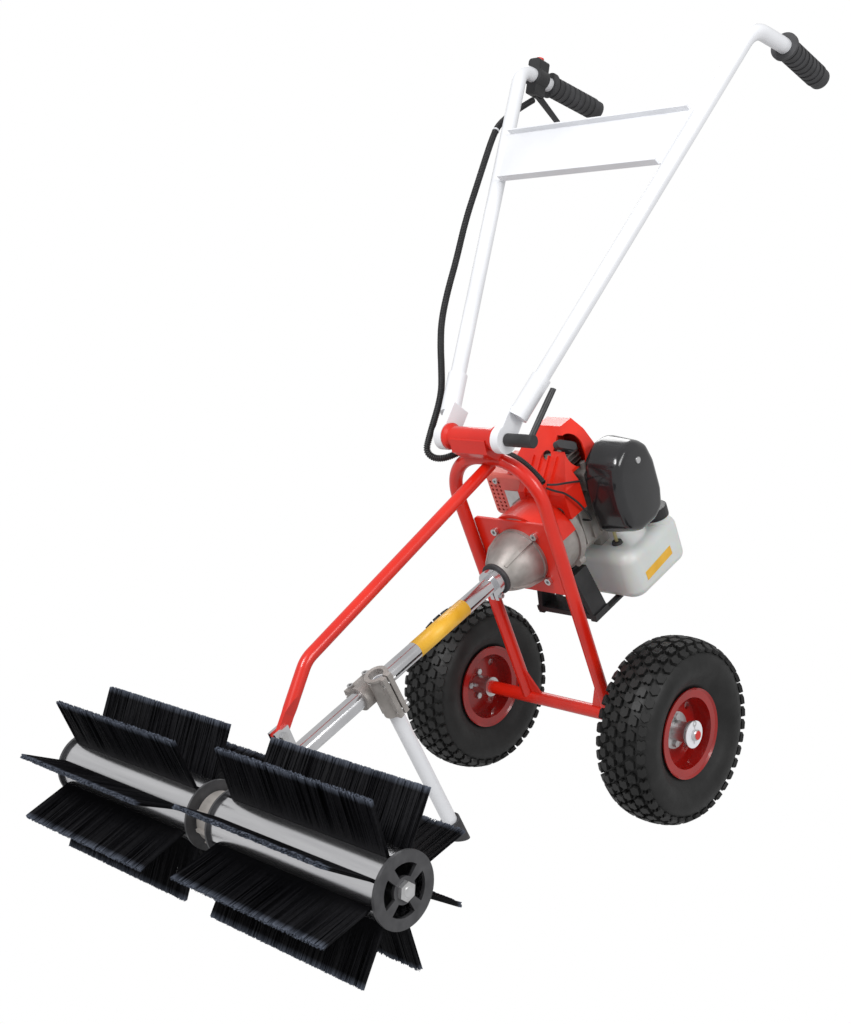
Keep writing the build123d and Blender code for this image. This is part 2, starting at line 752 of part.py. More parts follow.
with BuildPart() as drive_pinion:
    half_tooth = pi / pinion_teeth
    with BuildSketch(shaft_section(pinion_back)) as pinion_heel:
        Polygon(*bevel_outline(pinion_teeth, pinion_pitch_radius, pinion_tip, pinion_root, 1, half_tooth), align=None)
    with BuildSketch(shaft_section(pinion_back * gear_face_share)) as pinion_toe:
        Polygon(
            *bevel_outline(pinion_teeth, pinion_pitch_radius, pinion_tip, pinion_root, gear_face_share, half_tooth),
            align=None,
        )
    loft([pinion_heel.sketch, pinion_toe.sketch], ruled=True)
    with BuildSketch(shaft_section(pinion_back)):
        Circle(pinion_root - 0.5)
    extrude(amount=pinion_back + side_gap - input_bearing_start)
    with BuildSketch(shaft_section(0)):
        Circle(drive_shaft_radius)
    extrude(amount=-input_bearing_start, mode=Mode.SUBTRACT)
keep(drive_pinion, "drive_pinion")

# Brush shaft, its bearings and seals
brush_half_length = 308.0
nut_height = 5.0
drum_end = 298.0
disc_thickness = 4.0

with BuildPart() as brush_shaft:
    with BuildSketch(brush_face(-brush_half_length)):
        Circle(brush_shaft_radius)
    extrude(amount=2 * brush_half_length)
    chamfer(brush_shaft.edges().filter_by(GeomType.CIRCLE), 1.0)
    for side in (-1, 1):
        with BuildSketch(brush_face(side * (drum_end + disc_thickness))):
            RegularPolygon(11.0, 6)
            Circle(brush_shaft_radius, mode=Mode.SUBTRACT)
        extrude(amount=side * nut_height)
keep(brush_shaft, "brush_shaft")

with BuildPart() as drive_bearings:
    for side in (-1, 1):
        with BuildSketch(brush_face(side * brush_bearing_start)):
            Circle(brush_bearing_radius)
            Circle(brush_shaft_radius + running_gap, mode=Mode.SUBTRACT)
        extrude(amount=side * brush_bearing_width)
        with BuildSketch(brush_face(side * (brush_bearing_start + brush_bearing_width))):
            Circle(brush_bearing_radius - 2)
            Circle(brush_shaft_radius + 2, mode=Mode.SUBTRACT)
        extrude(amount=-side * 0.6, mode=Mode.SUBTRACT)
    with BuildSketch(shaft_section(input_bearing_start)):
        Circle(input_bearing_radius)
        Circle(drive_shaft_radius + running_gap, mode=Mode.SUBTRACT)
    extrude(amount=-input_bearing_width)
    # Bushes along the boom
    for station in (150, 325, 500):
        with BuildSketch(shaft_section(station - 8)):
            Circle(boom_radius - boom_wall)
            Circle(drive_shaft_radius + running_gap, mode=Mode.SUBTRACT)
        extrude(amount=-16)
keep(drive_bearings, "drive_bearings")

# Drive shaft in the boom
drive_shaft_start = gear_pitch_radius * gear_face_share - 1.5
drive_shaft_end = 548.0

with BuildPart() as drive_shaft:
    with BuildSketch(shaft_section(drive_shaft_start)):
        Circle(drive_shaft_radius)
    extrude(amount=drive_shaft_start - drive_shaft_end)
keep(drive_shaft, "drive_shaft")

# Brush drums: extruded sleeves with eight T-slots round a hub tube on four webs
drum_radius = 38.0
drum_wall = 3.0
drum_start = 21.0
drum_core_start = gear_boss_end + 2.0
drum_core_radius = 10.0
strip_count = 8
strip_phase = 19.0
slot_mouth = 4.0
slot_width = 9.0
slot_top = 35.4
slot_floor = 31.6
slot_gap = 0.15
strip_start = 31.3
strip_end = 292.2
strip_face_radius = 39.5
bristle_tip_radius = 107.0
strands_per_strip = 28
strand_size = 1.5


def drum_plane(x, side):
    """Plane across the brush axis at a distance from the middle, facing away from it on one side."""
    return Plane((side * x, brush_y, brush_height), x_dir=(0, side, 0), z_dir=(side, 0, 0))


with BuildPart() as brush_drums:
    for side in (-1, 1):
        with BuildSketch(drum_plane(drum_start, side)) as sleeve:
            Circle(drum_radius)
            Circle(drum_radius - drum_wall, mode=Mode.SUBTRACT)
            with PolarLocations(slot_floor + 1.2, strip_count, start_angle=strip_phase):
                Rectangle(7.4, slot_width + 4)
            with PolarLocations((slot_floor + slot_top) / 2, strip_count, start_angle=strip_phase):
                Rectangle(slot_top - slot_floor, slot_width, mode=Mode.SUBTRACT)
            with PolarLocations(drum_radius, strip_count, start_angle=strip_phase):
                Rectangle(2 * (drum_radius - slot_top) + 1, slot_mouth, mode=Mode.SUBTRACT)
        extrude(sleeve.sketch, amount=drum_end - drum_start)
        with BuildSketch(drum_plane(drum_core_start, side)) as core:
            Circle(drum_core_radius)
            with PolarLocations((drum_core_radius + drum_radius - drum_wall) / 2, 4, start_angle=strip_phase + 22.5):
                Rectangle(drum_radius - drum_wall - drum_core_radius + 2, 3)
            Circle(brush_shaft_radius, mode=Mode.SUBTRACT)
        extrude(core.sketch, amount=drum_end - drum_core_start)
keep(brush_drums, "brush_drums")

with BuildPart() as drum_end_plates:
    for side in (-1, 1):
        # Flange beside the gearbox
        with BuildSketch(drum_plane(drum_start - 3, side)):
            Circle(drum_radius + 4)
            Circle(gear_boss_radius + 3, mode=Mode.SUBTRACT)
        extrude(amount=3)
        with BuildSketch(drum_plane(gear_neck_radius + 2.4, side)):
            Circle(drum_radius + 4)
            Circle(drum_radius + 1, mode=Mode.SUBTRACT)
        extrude(amount=drum_start - gear_neck_radius - 2.4)
        # Disc at the outer end, with four windows
        with BuildSketch(drum_plane(drum_end, side)) as disc:
            Circle(drum_radius + 4)
            Circle(brush_shaft_radius, mode=Mode.SUBTRACT)
            for window in range(4):
                middle = strip_phase + 22.5 + 45 + 90 * window
                with BuildLine():
                    inner_arc = CenterArc((0, 0), 15, middle - 30, 60)
                    outer_arc = CenterArc((0, 0), 29, middle - 33, 66)
                    Line(inner_arc @ 0, outer_arc @ 0)
                    Line(inner_arc @ 1, outer_arc @ 1)
                make_face(mode=Mode.SUBTRACT)
        extrude(disc.sketch, amount=disc_thickness)
keep(drum_end_plates, "drum_end_plates")

for side, hand in ((1, "left"), (-1, "right")):
    with BuildPart() as strips:
        strand_bases = []
        strand_pitch = (strip_end - strip_start) / strands_per_strip
        for strip in range(strip_count):
            angle = radians(strip_phase + 360 / strip_count * strip)
            outward = Vector(0, side * cos(angle), sin(angle))
            across = outward.cross(Vector(side, 0, 0))
            for strand in range(strands_per_strip):
                along = strip_start + strand_pitch * (strand + 0.5)
                lean = 0.035 * sin(2.4 * strand + 1.3 * strip)
                spread = 0.03 * cos(1.9 * strand + strip)
                direction = (outward + across * lean + Vector(spread, 0, 0)).normalized()
                base = Vector(side * along, brush_y, brush_height) + outward * (strip_face_radius - 0.8)
                strand_bases.append(Plane(base, x_dir=across, z_dir=direction))
        with BuildSketch(drum_plane(strip_start, side)):
            with PolarLocations((slot_floor + slot_top) / 2, strip_count, start_angle=strip_phase):
                Rectangle(slot_top - slot_floor - 2 * slot_gap, slot_width - 2 * slot_gap)
            with PolarLocations((slot_top - 1 + strip_face_radius) / 2, strip_count, start_angle=strip_phase):
                Rectangle(strip_face_radius - slot_top + 1, slot_mouth - 2 * slot_gap)
        extrude(amount=strip_end - strip_start)
        with BuildSketch(*strand_bases):
            RegularPolygon(strand_size, 3)
        extrude(amount=bristle_tip_radius - strip_face_radius)
    keep(strips, f"{hand}_bristles")

# Clutch housing between the boom and the engine plate
clutch_base_radius = 43.5
clutch_drum_radius = 28.0
clutch_drum_start = 548.0
clutch_drum_end = 572.0

with BuildPart() as clutch_housing:
    with BuildSketch(shaft_side(0)):
        with BuildLine():
            Polyline(
                (engine_plate_station, 0),
                (engine_plate_station, clutch_base_radius),
                (engine_plate_station - 5, clutch_base_radius),
            )
            ThreePointArc(
                (engine_plate_station - 5, clutch_base_radius - 1.5),
                (clutch_drum_start, 36.5),
                (clutch_mouth_station + 0.6, clutch_neck_radius + 4),
            )
            Line((engine_plate_station - 5, clutch_base_radius), (engine_plate_station - 5, clutch_base_radius - 1.5))
            Polyline(
                (clutch_mouth_station + 0.6, clutch_neck_radius + 4),
                (clutch_mouth_station + 0.6, clutch_neck_radius),
                (clutch_mouth_station - 5, clutch_neck_radius),
                (clutch_mouth_station - 5, 0),
                (engine_plate_station, 0),
            )
        make_face()
    revolve(axis=shaft_axis)
    # Four diagonal ribs
    for turn in (45, 135, 225, 315):
        outward = Vector(cos(radians(turn)), 0, 0) + up_from_shaft * sin(radians(turn))
        rib_plane = Plane(shaft_point(0), x_dir=back_along_shaft, z_dir=back_along_shaft.cross(outward))
        with BuildSketch(rib_plane):
            Polygon(
                (engine_plate_station - 2, 30),
                (engine_plate_station - 2, clutch_base_radius + 1.5),
                (engine_plate_station - 7, clutch_base_radius + 1.5),
                (clutch_drum_start, 40.5),
                (clutch_mouth_station + 4, clutch_neck_radius + 8),
                (clutch_mouth_station + 4, clutch_neck_radius - 2),
                align=None,
            )
        extrude(amount=2.2, both=True)
    with BuildSketch(shaft_side(0)):
        Polygon(
            (engine_plate_station, 0),
            (engine_plate_station, clutch_drum_radius + 3),
            (clutch_drum_start - 4, clutch_drum_radius + 3),
            (clutch_drum_start - 10, clutch_drum_radius - 8),
            (clutch_drum_start - 10, drive_shaft_radius + 1.5),
            (boom_end_station, drive_shaft_radius + 1.5),
            (boom_end_station, boom_radius),
            (clutch_mouth_station - 6, boom_radius),
            (clutch_mouth_station - 6, 0),
            align=None,
        )
    revolve(axis=shaft_axis, mode=Mode.SUBTRACT)
keep(clutch_housing, "clutch_housing")

with BuildPart() as rubber_ring:
    with BuildSketch(shaft_section(clutch_mouth_station - 5)):
        Circle(clutch_neck_radius + 5.5)
        Circle(clutch_neck_radius + running_gap, mode=Mode.SUBTRACT)
    extrude(amount=-5.3)
    fillet(rubber_ring.edges().filter_by(GeomType.CIRCLE).group_by(SortBy.RADIUS)[-1], 1.6)
keep(rubber_ring, "rubber_ring")

with BuildPart() as clutch_drum:
    with BuildSketch(shaft_section(clutch_drum_start)):
        Circle(clutch_drum_radius)
        Circle(drive_shaft_radius, mode=Mode.SUBTRACT)
    extrude(amount=clutch_drum_start - clutch_drum_end)
    with BuildSketch(shaft_section(clutch_drum_start + 2.5)):
        Circle(clutch_drum_radius - 2.5)
    extrude(amount=clutch_drum_start - clutch_drum_end, mode=Mode.SUBTRACT)
    with BuildSketch(shaft_section(clutch_drum_start - 7)):
        Circle(drive_shaft_radius + 4)
        Circle(drive_shaft_radius, mode=Mode.SUBTRACT)
    extrude(amount=-7)
keep(clutch_drum, "clutch_drum")

# Engine, on the rear face of its plate; depth is measured back from that face along the shaft
engine_face_station = engine_plate_station + engine_plate_thickness


def engine_section(depth, x=0.0, up=0.0):
    """Plane across the crankshaft behind the engine plate, facing the brush."""
    return shaft_section(engine_face_station + depth, x, up)


def engine_side(x):
    """Plane facing +X; its x is the depth behind the engine plate and its y points up from the shaft."""
    return Plane(shaft_point(engine_face_station, x), x_dir=back_along_shaft, z_dir=(1, 0, 0))


def engine_level(up):
    """Plane level with the engine, facing up from the shaft; its x is +X and its y is the depth."""
    return Plane(shaft_point(engine_face_station, 0, up), x_dir=(1, 0, 0), z_dir=up_from_shaft)


crankshaft_radius = 6.0
fan_case_radius = 57.0
fan_case_depth = 60.0
fan_case_wall = 4.0
crankcase_depth = 150.0
crankcase_half = 43.0
tank_top = -58.0
flywheel_radius = 48.0
flywheel_start = 22.0
flywheel_end = 36.0
engine_bolt_boss = 7.0
engine_bolt_depth = 16.0
half_bolt_pitch = engine_bolt_pitch / 2

with BuildPart() as fan_housing:
    with BuildSketch(engine_section(0)):
        Circle(fan_case_radius)
    extrude(amount=-fan_case_depth)
    with BuildSketch(engine_section(fan_case_depth - 7)):
        Circle(fan_case_radius + 3)
        with PolarLocations(fan_case_radius + 2, 4, start_angle=45):
            Circle(7)
    extrude(amount=-7)
    with BuildSketch(engine_section(5)):
        Circle(fan_case_radius - fan_case_wall)
        with GridLocations(engine_bolt_pitch, engine_bolt_pitch, 2, 2):
            Circle(engine_bolt_boss, mode=Mode.SUBTRACT)
    extrude(amount=-(flywheel_start - 7), mode=Mode.SUBTRACT)
    with BuildSketch(engine_section(flywheel_start - 2)):
        Circle(fan_case_radius - fan_case_wall)
    extrude(amount=-fan_case_depth, mode=Mode.SUBTRACT)
    with BuildSketch(engine_section(0)):
        Circle(clutch_mouth_radius)
    extrude(amount=-10, mode=Mode.SUBTRACT)
    with BuildSketch(engine_section(0)):
        with GridLocations(engine_bolt_pitch, engine_bolt_pitch, 2, 2):
            Circle(engine_bolt_radius + 0.1)
    extrude(amount=-engine_bolt_depth, mode=Mode.SUBTRACT)
keep(fan_housing, "fan_housing")

with BuildPart() as crankshaft:
    with BuildSketch(engine_section(-26)):
        Circle(crankshaft_radius)
    extrude(amount=-26 - crankcase_depth - 24)
    with BuildSketch(engine_section(6)):
        Circle(crankshaft_radius + 4)
    extrude(amount=-(flywheel_start - 6))
    # Two crank webs on an offset pin
    for web_depth in (92, 110):
        with BuildSketch(engine_section(web_depth)):
            Circle(26)
        extrude(amount=-8)
    with BuildSketch(engine_section(100, 0, 15)):
        Circle(7)
    extrude(amount=-10)
    with BuildSketch(engine_section(100)):
        Circle(crankshaft_radius + 1)
    extrude(amount=-10, mode=Mode.SUBTRACT)
keep(crankshaft, "crankshaft")

with BuildPart() as clutch_shoes:
    with BuildSketch(engine_section(-28)):
        for side in (-1, 1):
            with BuildLine():
                shoe_outer = CenterArc((0, 0), clutch_drum_radius - 4, side * 90 - 70, 140)
                shoe_inner = CenterArc((0, 0), crankshaft_radius + 6, side * 90 - 70, 140)
                Line(shoe_outer @ 0, shoe_inner @ 0)
                Line(shoe_outer @ 1, shoe_inner @ 1)
            make_face()
        Circle(crankshaft_radius + 6.5)
        Circle(crankshaft_radius, mode=Mode.SUBTRACT)
    extrude(amount=-14)
keep(clutch_shoes, "clutch_shoes")

with BuildPart() as flywheel:
    with BuildSketch(engine_section(flywheel_start)):
        Circle(flywheel_radius)
        Circle(crankshaft_radius, mode=Mode.SUBTRACT)
    extrude(amount=flywheel_start - flywheel_end)
    with BuildSketch(engine_section(flywheel_end)):
        with PolarLocations(flywheel_radius - 14, 14):
            Rectangle(26, 2.4, rotation=18)
        Circle(crankshaft_radius + 8)
        Circle(crankshaft_radius, mode=Mode.SUBTRACT)
    extrude(amount=-14)
keep(flywheel, "flywheel")

with BuildPart() as crankcase:
    with BuildSketch(engine_section(fan_case_depth)):
        Circle(fan_case_radius + 3)
        with PolarLocations(fan_case_radius + 2, 4, start_angle=45):
            Circle(7)
    extrude(amount=-5)
    with BuildSketch(engine_section(fan_case_depth + 5)):
        RectangleRounded(2 * crankcase_half, 2 * crankcase_half, 16)
    extrude(amount=fan_case_depth + 5 - crankcase_depth)
    # Strengthening ribs on the sides of the case
    for rib_depth in (80, 98, 116, 134):
        with BuildSketch(engine_section(rib_depth)):
            Rectangle(2 * crankcase_half + 7, 2 * crankcase_half - 30)
        extrude(amount=-3)
    with BuildSketch(engine_section(fan_case_depth)):
        Circle(crankshaft_radius + running_gap)
    extrude(amount=fan_case_depth - crankcase_depth, mode=Mode.SUBTRACT)
    with BuildSketch(engine_section(fan_case_depth + 26)):
        Circle(30)
    extrude(amount=-42, mode=Mode.SUBTRACT)
    # Feet that hold the tank down on its stand
    with BuildSketch(engine_level(tank_top + side_gap)):
        with Locations((-24, 132), (24, 132)):
            Rectangle(14, 20)
    extrude(amount=-crankcase_half - tank_top)
keep(crankcase, "crankcase")

cylinder_depth = 116.0
cylinder_half = 27.0
cylinder_top = 106.0
fin_pitch = 7.5
fin_count = 8

plug_mouth = shaft_point(engine_face_station + 112, 26, 107)
plug_direction = (Vector(0.62, 0, 0) + up_from_shaft * 0.26).normalized()


def plug_section(distance):
    """Plane across the spark plug at a distance from its seat."""
    return Plane(plug_mouth + plug_direction * distance, x_dir=back_along_shaft, z_dir=plug_direction)


with BuildPart() as cylinder:
    with BuildSketch(engine_level(crankcase_half)):
        with Locations((0, cylinder_depth)):
            Circle(21)
    extrude(amount=cylinder_top - crankcase_half)
    for fin in range(fin_count):
        with BuildSketch(engine_level(crankcase_half + 5 + fin_pitch * fin)):
            with Locations((0, cylinder_depth)):
                RectangleRounded(2 * cylinder_half, 2 * cylinder_half, 8)
        extrude(amount=2.2)
    # Spark plug, leaning out to the operator's left
    with BuildSketch(plug_section(-9)):
        Circle(9)
    extrude(amount=5)
    with BuildSketch(plug_section(-5)):
        RegularPolygon(8, 6)
    extrude(amount=5)
    with BuildSketch(plug_section(-1)):
        Circle(4)
    extrude(amount=9)
keep(cylinder, "cylinder")

# Red cover over the cylinder
cover_wall = 2.6
cover_foot = 33.0
cover_ridge = 138.0
cover_front = 50.0
cover_back = 149.8
cover_half_foot = 60.0
cover_half_ridge = 22.0
guard_top = 87.0
guard_inner_x = -25.5


def cover_body(inset):
    """Add the closed form of the engine cover, drawn in by an inset."""
    with BuildSketch(engine_side(0)) as cover_profile:
        Polygon(
            (cover_front + inset, cover_foot),
            (cover_front + inset, cover_foot + 37),
            (122 + inset, cover_ridge - inset),
            (147 - inset, cover_ridge - inset),
            (cover_back - inset, cover_ridge - 20),
            (cover_back - inset, cover_foot),
            align=None,
        )
    extrude(cover_profile.sketch, amount=cover_half_foot + 2, both=True)
    with BuildSketch(engine_section(0)) as cover_width:
        Polygon(
            (inset - cover_half_foot, cover_foot),
            (inset - cover_half_foot, cover_foot + 42),
            (inset - cover_half_ridge - 14, cover_ridge - 16),
            (inset - cover_half_ridge, cover_ridge - inset),
            (cover_half_ridge - inset, cover_ridge - inset),
            (cover_half_ridge + 14 - inset, cover_ridge - 16),
            (cover_half_foot - inset, cover_foot + 42),
            (cover_half_foot - inset, cover_foot),
            align=None,
        )
    extrude(cover_width.sketch, amount=-cover_back - 10, mode=Mode.INTERSECT)


with BuildPart() as cover_space:
    cover_body(cover_wall)

with BuildPart() as top_cover:
    cover_body(0)
    add(cover_space.part, mode=Mode.SUBTRACT)
    # Room for the muffler guard
    with BuildSketch(engine_side(guard_inner_x)):
        Rectangle(2 * cover_back, 2 * guard_top)
    extrude(amount=-cover_half_foot, mode=Mode.SUBTRACT)
    # Pocket for the plug cap
    with BuildSketch(engine_side(20)):
        with Locations((112, 107)):
            SlotOverall(45, 35, rotation=65)
    extrude(amount=cover_half_foot, mode=Mode.SUBTRACT)
    # Cooling mouth in the front slope
    with BuildSketch(engine_section(0)):
        with Locations((10, 108)):
            Ellipse(8, 5.5)
    extrude(amount=-cover_back + 20, mode=Mode.SUBTRACT)
    # Scalloped foot over the fan housing, and the opening for the air filter
    with BuildSketch(engine_section(cover_front - 10)):
        Circle(fan_case_radius + 4)
        with PolarLocations(fan_case_radius + 2, 4, start_angle=45):
            Circle(8.2)
    extrude(amount=cover_front - 10 - fan_case_depth - 6, mode=Mode.SUBTRACT)
    with BuildSketch(engine_section(cover_front + 8)):
        Rectangle(2 * crankcase_half + 8.6, 2 * crankcase_half + 0.8)
    extrude(amount=-cover_back, mode=Mode.SUBTRACT)
    with BuildSketch(engine_side(cover_half_foot - 8)):
        with Locations((128, 58)):
            Rectangle(84, 64)
    extrude(amount=20, mode=Mode.SUBTRACT)
    # Ribs down the front slope
    for rib_x in (-12, 2, 16, 30):
        with BuildSketch(engine_side(rib_x - 1)):
            Polygon(
                (cover_front + 2, cover_foot + 29.5),
                (cover_front - 2.5, cover_foot + 32),
                (cover_front - 2.5, cover_foot + 40),
                (cover_front + 38, cover_foot + 77),
                (cover_front + 41, cover_foot + 74),
                align=None,
            )
        extrude(amount=2)
    # Pad that meets the cylinder head and the clip for the throttle wire
    with BuildSketch(engine_level(cylinder_top + side_gap)):
        with Locations((0, cylinder_depth + 14)):
            Rectangle(16, 12)
    extrude(amount=cover_ridge - cylinder_top - side_gap - 1)
keep(top_cover, "top_cover")

# Muffler and its perforated guard on the operator's right
guard_outer_x = -100.0
guard_front = 66.0
guard_back = 135.0
guard_foot = 15.0
guard_wall = 2.0
guard_hole_radius = 2.3

with BuildPart() as muffler_guard:
    guard_middle = (guard_outer_x + guard_inner_x - 3) / 2
    guard_width = guard_inner_x - 3 - guard_outer_x
    guard_height = guard_top - 2 - guard_foot
    with BuildSketch(engine_section(guard_front, guard_middle, (guard_top - 2 + guard_foot) / 2)):
        RectangleRounded(guard_width, guard_height, 9)
    extrude(amount=guard_front - guard_back)
    fillet(muffler_guard.faces().sort_by(Axis(shaft_point(0), back_along_shaft))[0].edges(), 6)
    with BuildSketch(engine_section(guard_front + guard_wall, guard_middle, (guard_top - 2 + guard_foot) / 2)):
        RectangleRounded(guard_width - 2 * guard_wall, guard_height - 2 * guard_wall, 7)
    extrude(amount=guard_front - guard_back, mode=Mode.SUBTRACT)
    with BuildSketch(engine_section(0, guard_outer_x + 17, (guard_top - 2 + guard_foot) / 2 - 2)):
        with GridLocations(8, 6.6, 3, 8):
            RegularPolygon(guard_hole_radius, 6)
    extrude(amount=-guard_front - 10, mode=Mode.SUBTRACT)
    # Open inner side, notch round the crankcase and hole of the guard's bolt
    with BuildSketch(engine_section(guard_front + 4, guard_inner_x, guard_top)):
        Rectangle(14, 3 * guard_top)
    extrude(amount=-guard_back, mode=Mode.SUBTRACT)
    with BuildSketch(engine_section(guard_front - 1, 0, 0)):
        Rectangle(2 * crankcase_half + 9, 2 * crankcase_half + 3)
    extrude(amount=-guard_back, mode=Mode.SUBTRACT)
    with BuildSketch(engine_section(guard_front - 1, guard_outer_x + 22, guard_top - 12)):
        Circle(2.5)
    extrude(amount=-5, mode=Mode.SUBTRACT)
    with BuildSketch(engine_side(guard_outer_x - 5)):
        with Locations(((guard_front + guard_back) / 2, (guard_top - 2 + guard_foot) / 2)):
            with GridLocations(11, 8, 5, 6):
                Rectangle(7, 3.6)
    extrude(amount=12, mode=Mode.SUBTRACT)
keep(muffler_guard, "muffler_guard")

with BuildPart() as muffler:
    muffler_inner_x = -crankcase_half - 5
    muffler_width = muffler_inner_x - guard_outer_x - 8
    with BuildSketch(engine_section(guard_front + 9, muffler_inner_x - muffler_width / 2, (guard_top + guard_foot) / 2)):
        RectangleRounded(muffler_width, guard_height - 16, 9)
    extrude(amount=-(guard_back - guard_front - 16))
    fillet(muffler.edges(), 3)
    # Exhaust port to the cylinder
    with BuildSketch(engine_side(-cylinder_half)):
        with Locations((cylinder_depth, 66)):
            RectangleRounded(22, 16, 5)
    extrude(amount=muffler_inner_x + cylinder_half - 1)
    with BuildSketch(engine_side(-cylinder_half)):
        with Locations((cylinder_depth, 66)):
            Circle(5)
    extrude(amount=-12, mode=Mode.SUBTRACT)
keep(muffler, "muffler")

# Plug cap
with BuildPart() as plug_cap:
    with BuildSketch(plug_section(2)):
        Circle(8.5)
    extrude(amount=13)
    fillet(plug_cap.edges().filter_by(GeomType.CIRCLE), 2)
    with BuildSketch(plug_section(9)):
        with Locations((-8, 6)):
            SlotOverall(34, 12, rotation=-38)
    extrude(amount=10)
    with BuildSketch(plug_section(-8)):
        Circle(4.3)
    extrude(amount=16.4, mode=Mode.SUBTRACT)
keep(plug_cap, "plug_cap")

# Carburettor and air filter on the operator's left
filter_start_x = 56.0
filter_end_x = 111.0
filter_screw_depth = 146.0

with BuildPart() as carburettor:
    with BuildSketch(engine_side(cylinder_half)):
        with Locations((cylinder_depth, 62)):
            RectangleRounded(24, 18, 4)
    extrude(amount=12)
    with BuildSketch(engine_side(cylinder_half + 10)):
        with Locations((cylinder_depth + 4, 60)):
            RectangleRounded(36, 30, 5)
    extrude(amount=filter_start_x - cylinder_half - 10.3)
    with BuildSketch(engine_level(75)):
        with Locations((filter_start_x - 9, cylinder_depth + 2)):
            Circle(5)
    extrude(amount=10)
    with BuildSketch(engine_side(cylinder_half - 1)):
        with Locations((cylinder_depth, 62)):
            Circle(6)
    extrude(amount=filter_start_x - cylinder_half, mode=Mode.SUBTRACT)
    # Base plate of the air filter
    with BuildSketch(engine_side(filter_start_x)):
        with Locations((141, 44)):
            RectangleRounded(56, 70, 12)
        with Locations((cylinder_depth, 62)):
            Circle(6, mode=Mode.SUBTRACT)
    extrude(amount=6)
    with BuildSketch(engine_side(filter_start_x + 6)):
        with Locations((filter_screw_depth, 44)):
            Circle(5)
    extrude(amount=filter_end_x - filter_start_x - 9.2)
keep(carburettor, "carburettor")

with BuildPart() as filter_cover:
    with BuildSketch(engine_side(filter_start_x)) as filter_outline:
        Polygon(
            (103, 4),
            (101, 66),
            (112, 86),
            (136, 99),
            (160, 97),
            (178, 80),
            (177, 12),
            (164, -10),
            (118, -12),
            align=None,
        )
        fillet(filter_outline.vertices(), 8)
    extrude(amount=filter_end_x - filter_start_x, taper=5)
    fillet(filter_cover.faces().sort_by(Axis.X)[-1].edges(), 6)
    extrude(
        offset(filter_outline.sketch, amount=-cover_wall, mode=Mode.PRIVATE),
        amount=filter_end_x - filter_start_x - 3,
        taper=5,
        mode=Mode.SUBTRACT,
    )
    with BuildSketch(engine_side(filter_start_x)):
        with Locations((filter_screw_depth, 44)):
            Circle(2.6)
    extrude(amount=filter_end_x, mode=Mode.SUBTRACT)
keep(filter_cover, "filter_cover")

# Fuel tank under the crankcase, with a neck at its rear left corner
tank_bottom = -131.0
tank_left_x = 95.0
tank_right_x = -85.0
tank_front = 98.0
tank_back = 230.0
tank_wall = 2.6
neck_x = 72.0
neck_depth = 205.0
neck_radius = 16.0
neck_top = -40.0
cap_radius = 20.0

def tank_body(inset):
    """Add the closed form of the tank, drawn in by an inset."""
    with BuildSketch(engine_level(tank_bottom + inset)) as tank_plan:
        with Locations(((tank_left_x + tank_right_x) / 2, (tank_front + tank_back) / 2)):
            RectangleRounded(tank_left_x - tank_right_x - 2 * inset, tank_back - tank_front - 2 * inset, 22 - inset)
    extrude(tank_plan.sketch, amount=tank_top - tank_bottom - 2 * inset)


with BuildPart() as tank_space:
    tank_body(tank_wall)
    fillet(tank_space.faces().sort_by(Axis((0, 0, 0), up_from_shaft))[-1].edges(), 16 - tank_wall)
    fillet(tank_space.faces().sort_by(Axis((0, 0, 0), up_from_shaft))[0].edges(), 12 - tank_wall)

with BuildPart() as fuel_tank:
    tank_body(0)
    fillet(fuel_tank.faces().sort_by(Axis((0, 0, 0), up_from_shaft))[-1].edges(), 16)
    fillet(fuel_tank.faces().sort_by(Axis((0, 0, 0), up_from_shaft))[0].edges(), 12)
    # Filler neck on its collar
    with BuildSketch(engine_level(tank_top - 22)):
        with Locations((neck_x, neck_depth)):
            Circle(neck_radius + 3)
    extrude(amount=neck_top - 14 - tank_top + 22)
    with BuildSketch(engine_level(tank_top - 12)):
        with Locations((neck_x, neck_depth)):
            Circle(neck_radius)
    extrude(amount=neck_top - tank_top + 12)
    add(tank_space.part, mode=Mode.SUBTRACT)
    with BuildSketch(engine_level(tank_top - 30)):
        with Locations((neck_x, neck_depth)):
            Circle(neck_radius - 3)
    extrude(amount=neck_top - tank_top + 40, mode=Mode.SUBTRACT)
    # Hole of the fuel line
    with BuildSketch(engine_level(tank_top - 20)):
        with Locations((52, 132)):
            Circle(4.5)
    extrude(amount=30, mode=Mode.SUBTRACT)
keep(fuel_tank, "fuel_tank")

with BuildPart() as fuel_cap:
    with BuildSketch(engine_level(neck_top - 13)):
        with Locations((neck_x, neck_depth)):
            RegularPolygon(cap_radius, 24)
    extrude(amount=16)
    chamfer(fuel_cap.faces().sort_by(Axis((0, 0, 0), up_from_shaft))[-1].edges(), 1)
    with BuildSketch(engine_level(neck_top - 13)):
        with Locations((neck_x, neck_depth)):
            Circle(neck_radius + side_gap)
    extrude(amount=13 + side_gap, mode=Mode.SUBTRACT)
keep(fuel_cap, "fuel_cap")

# Black stand under the engine, which carries the front of the tank
stand_front = 42.0
stand_back = 74.0
stand_half = 48.0
stand_sheet = 4.0
stand_foot = tank_bottom - side_gap - stand_sheet
prong_end = 165.0
prong_width = 10.0

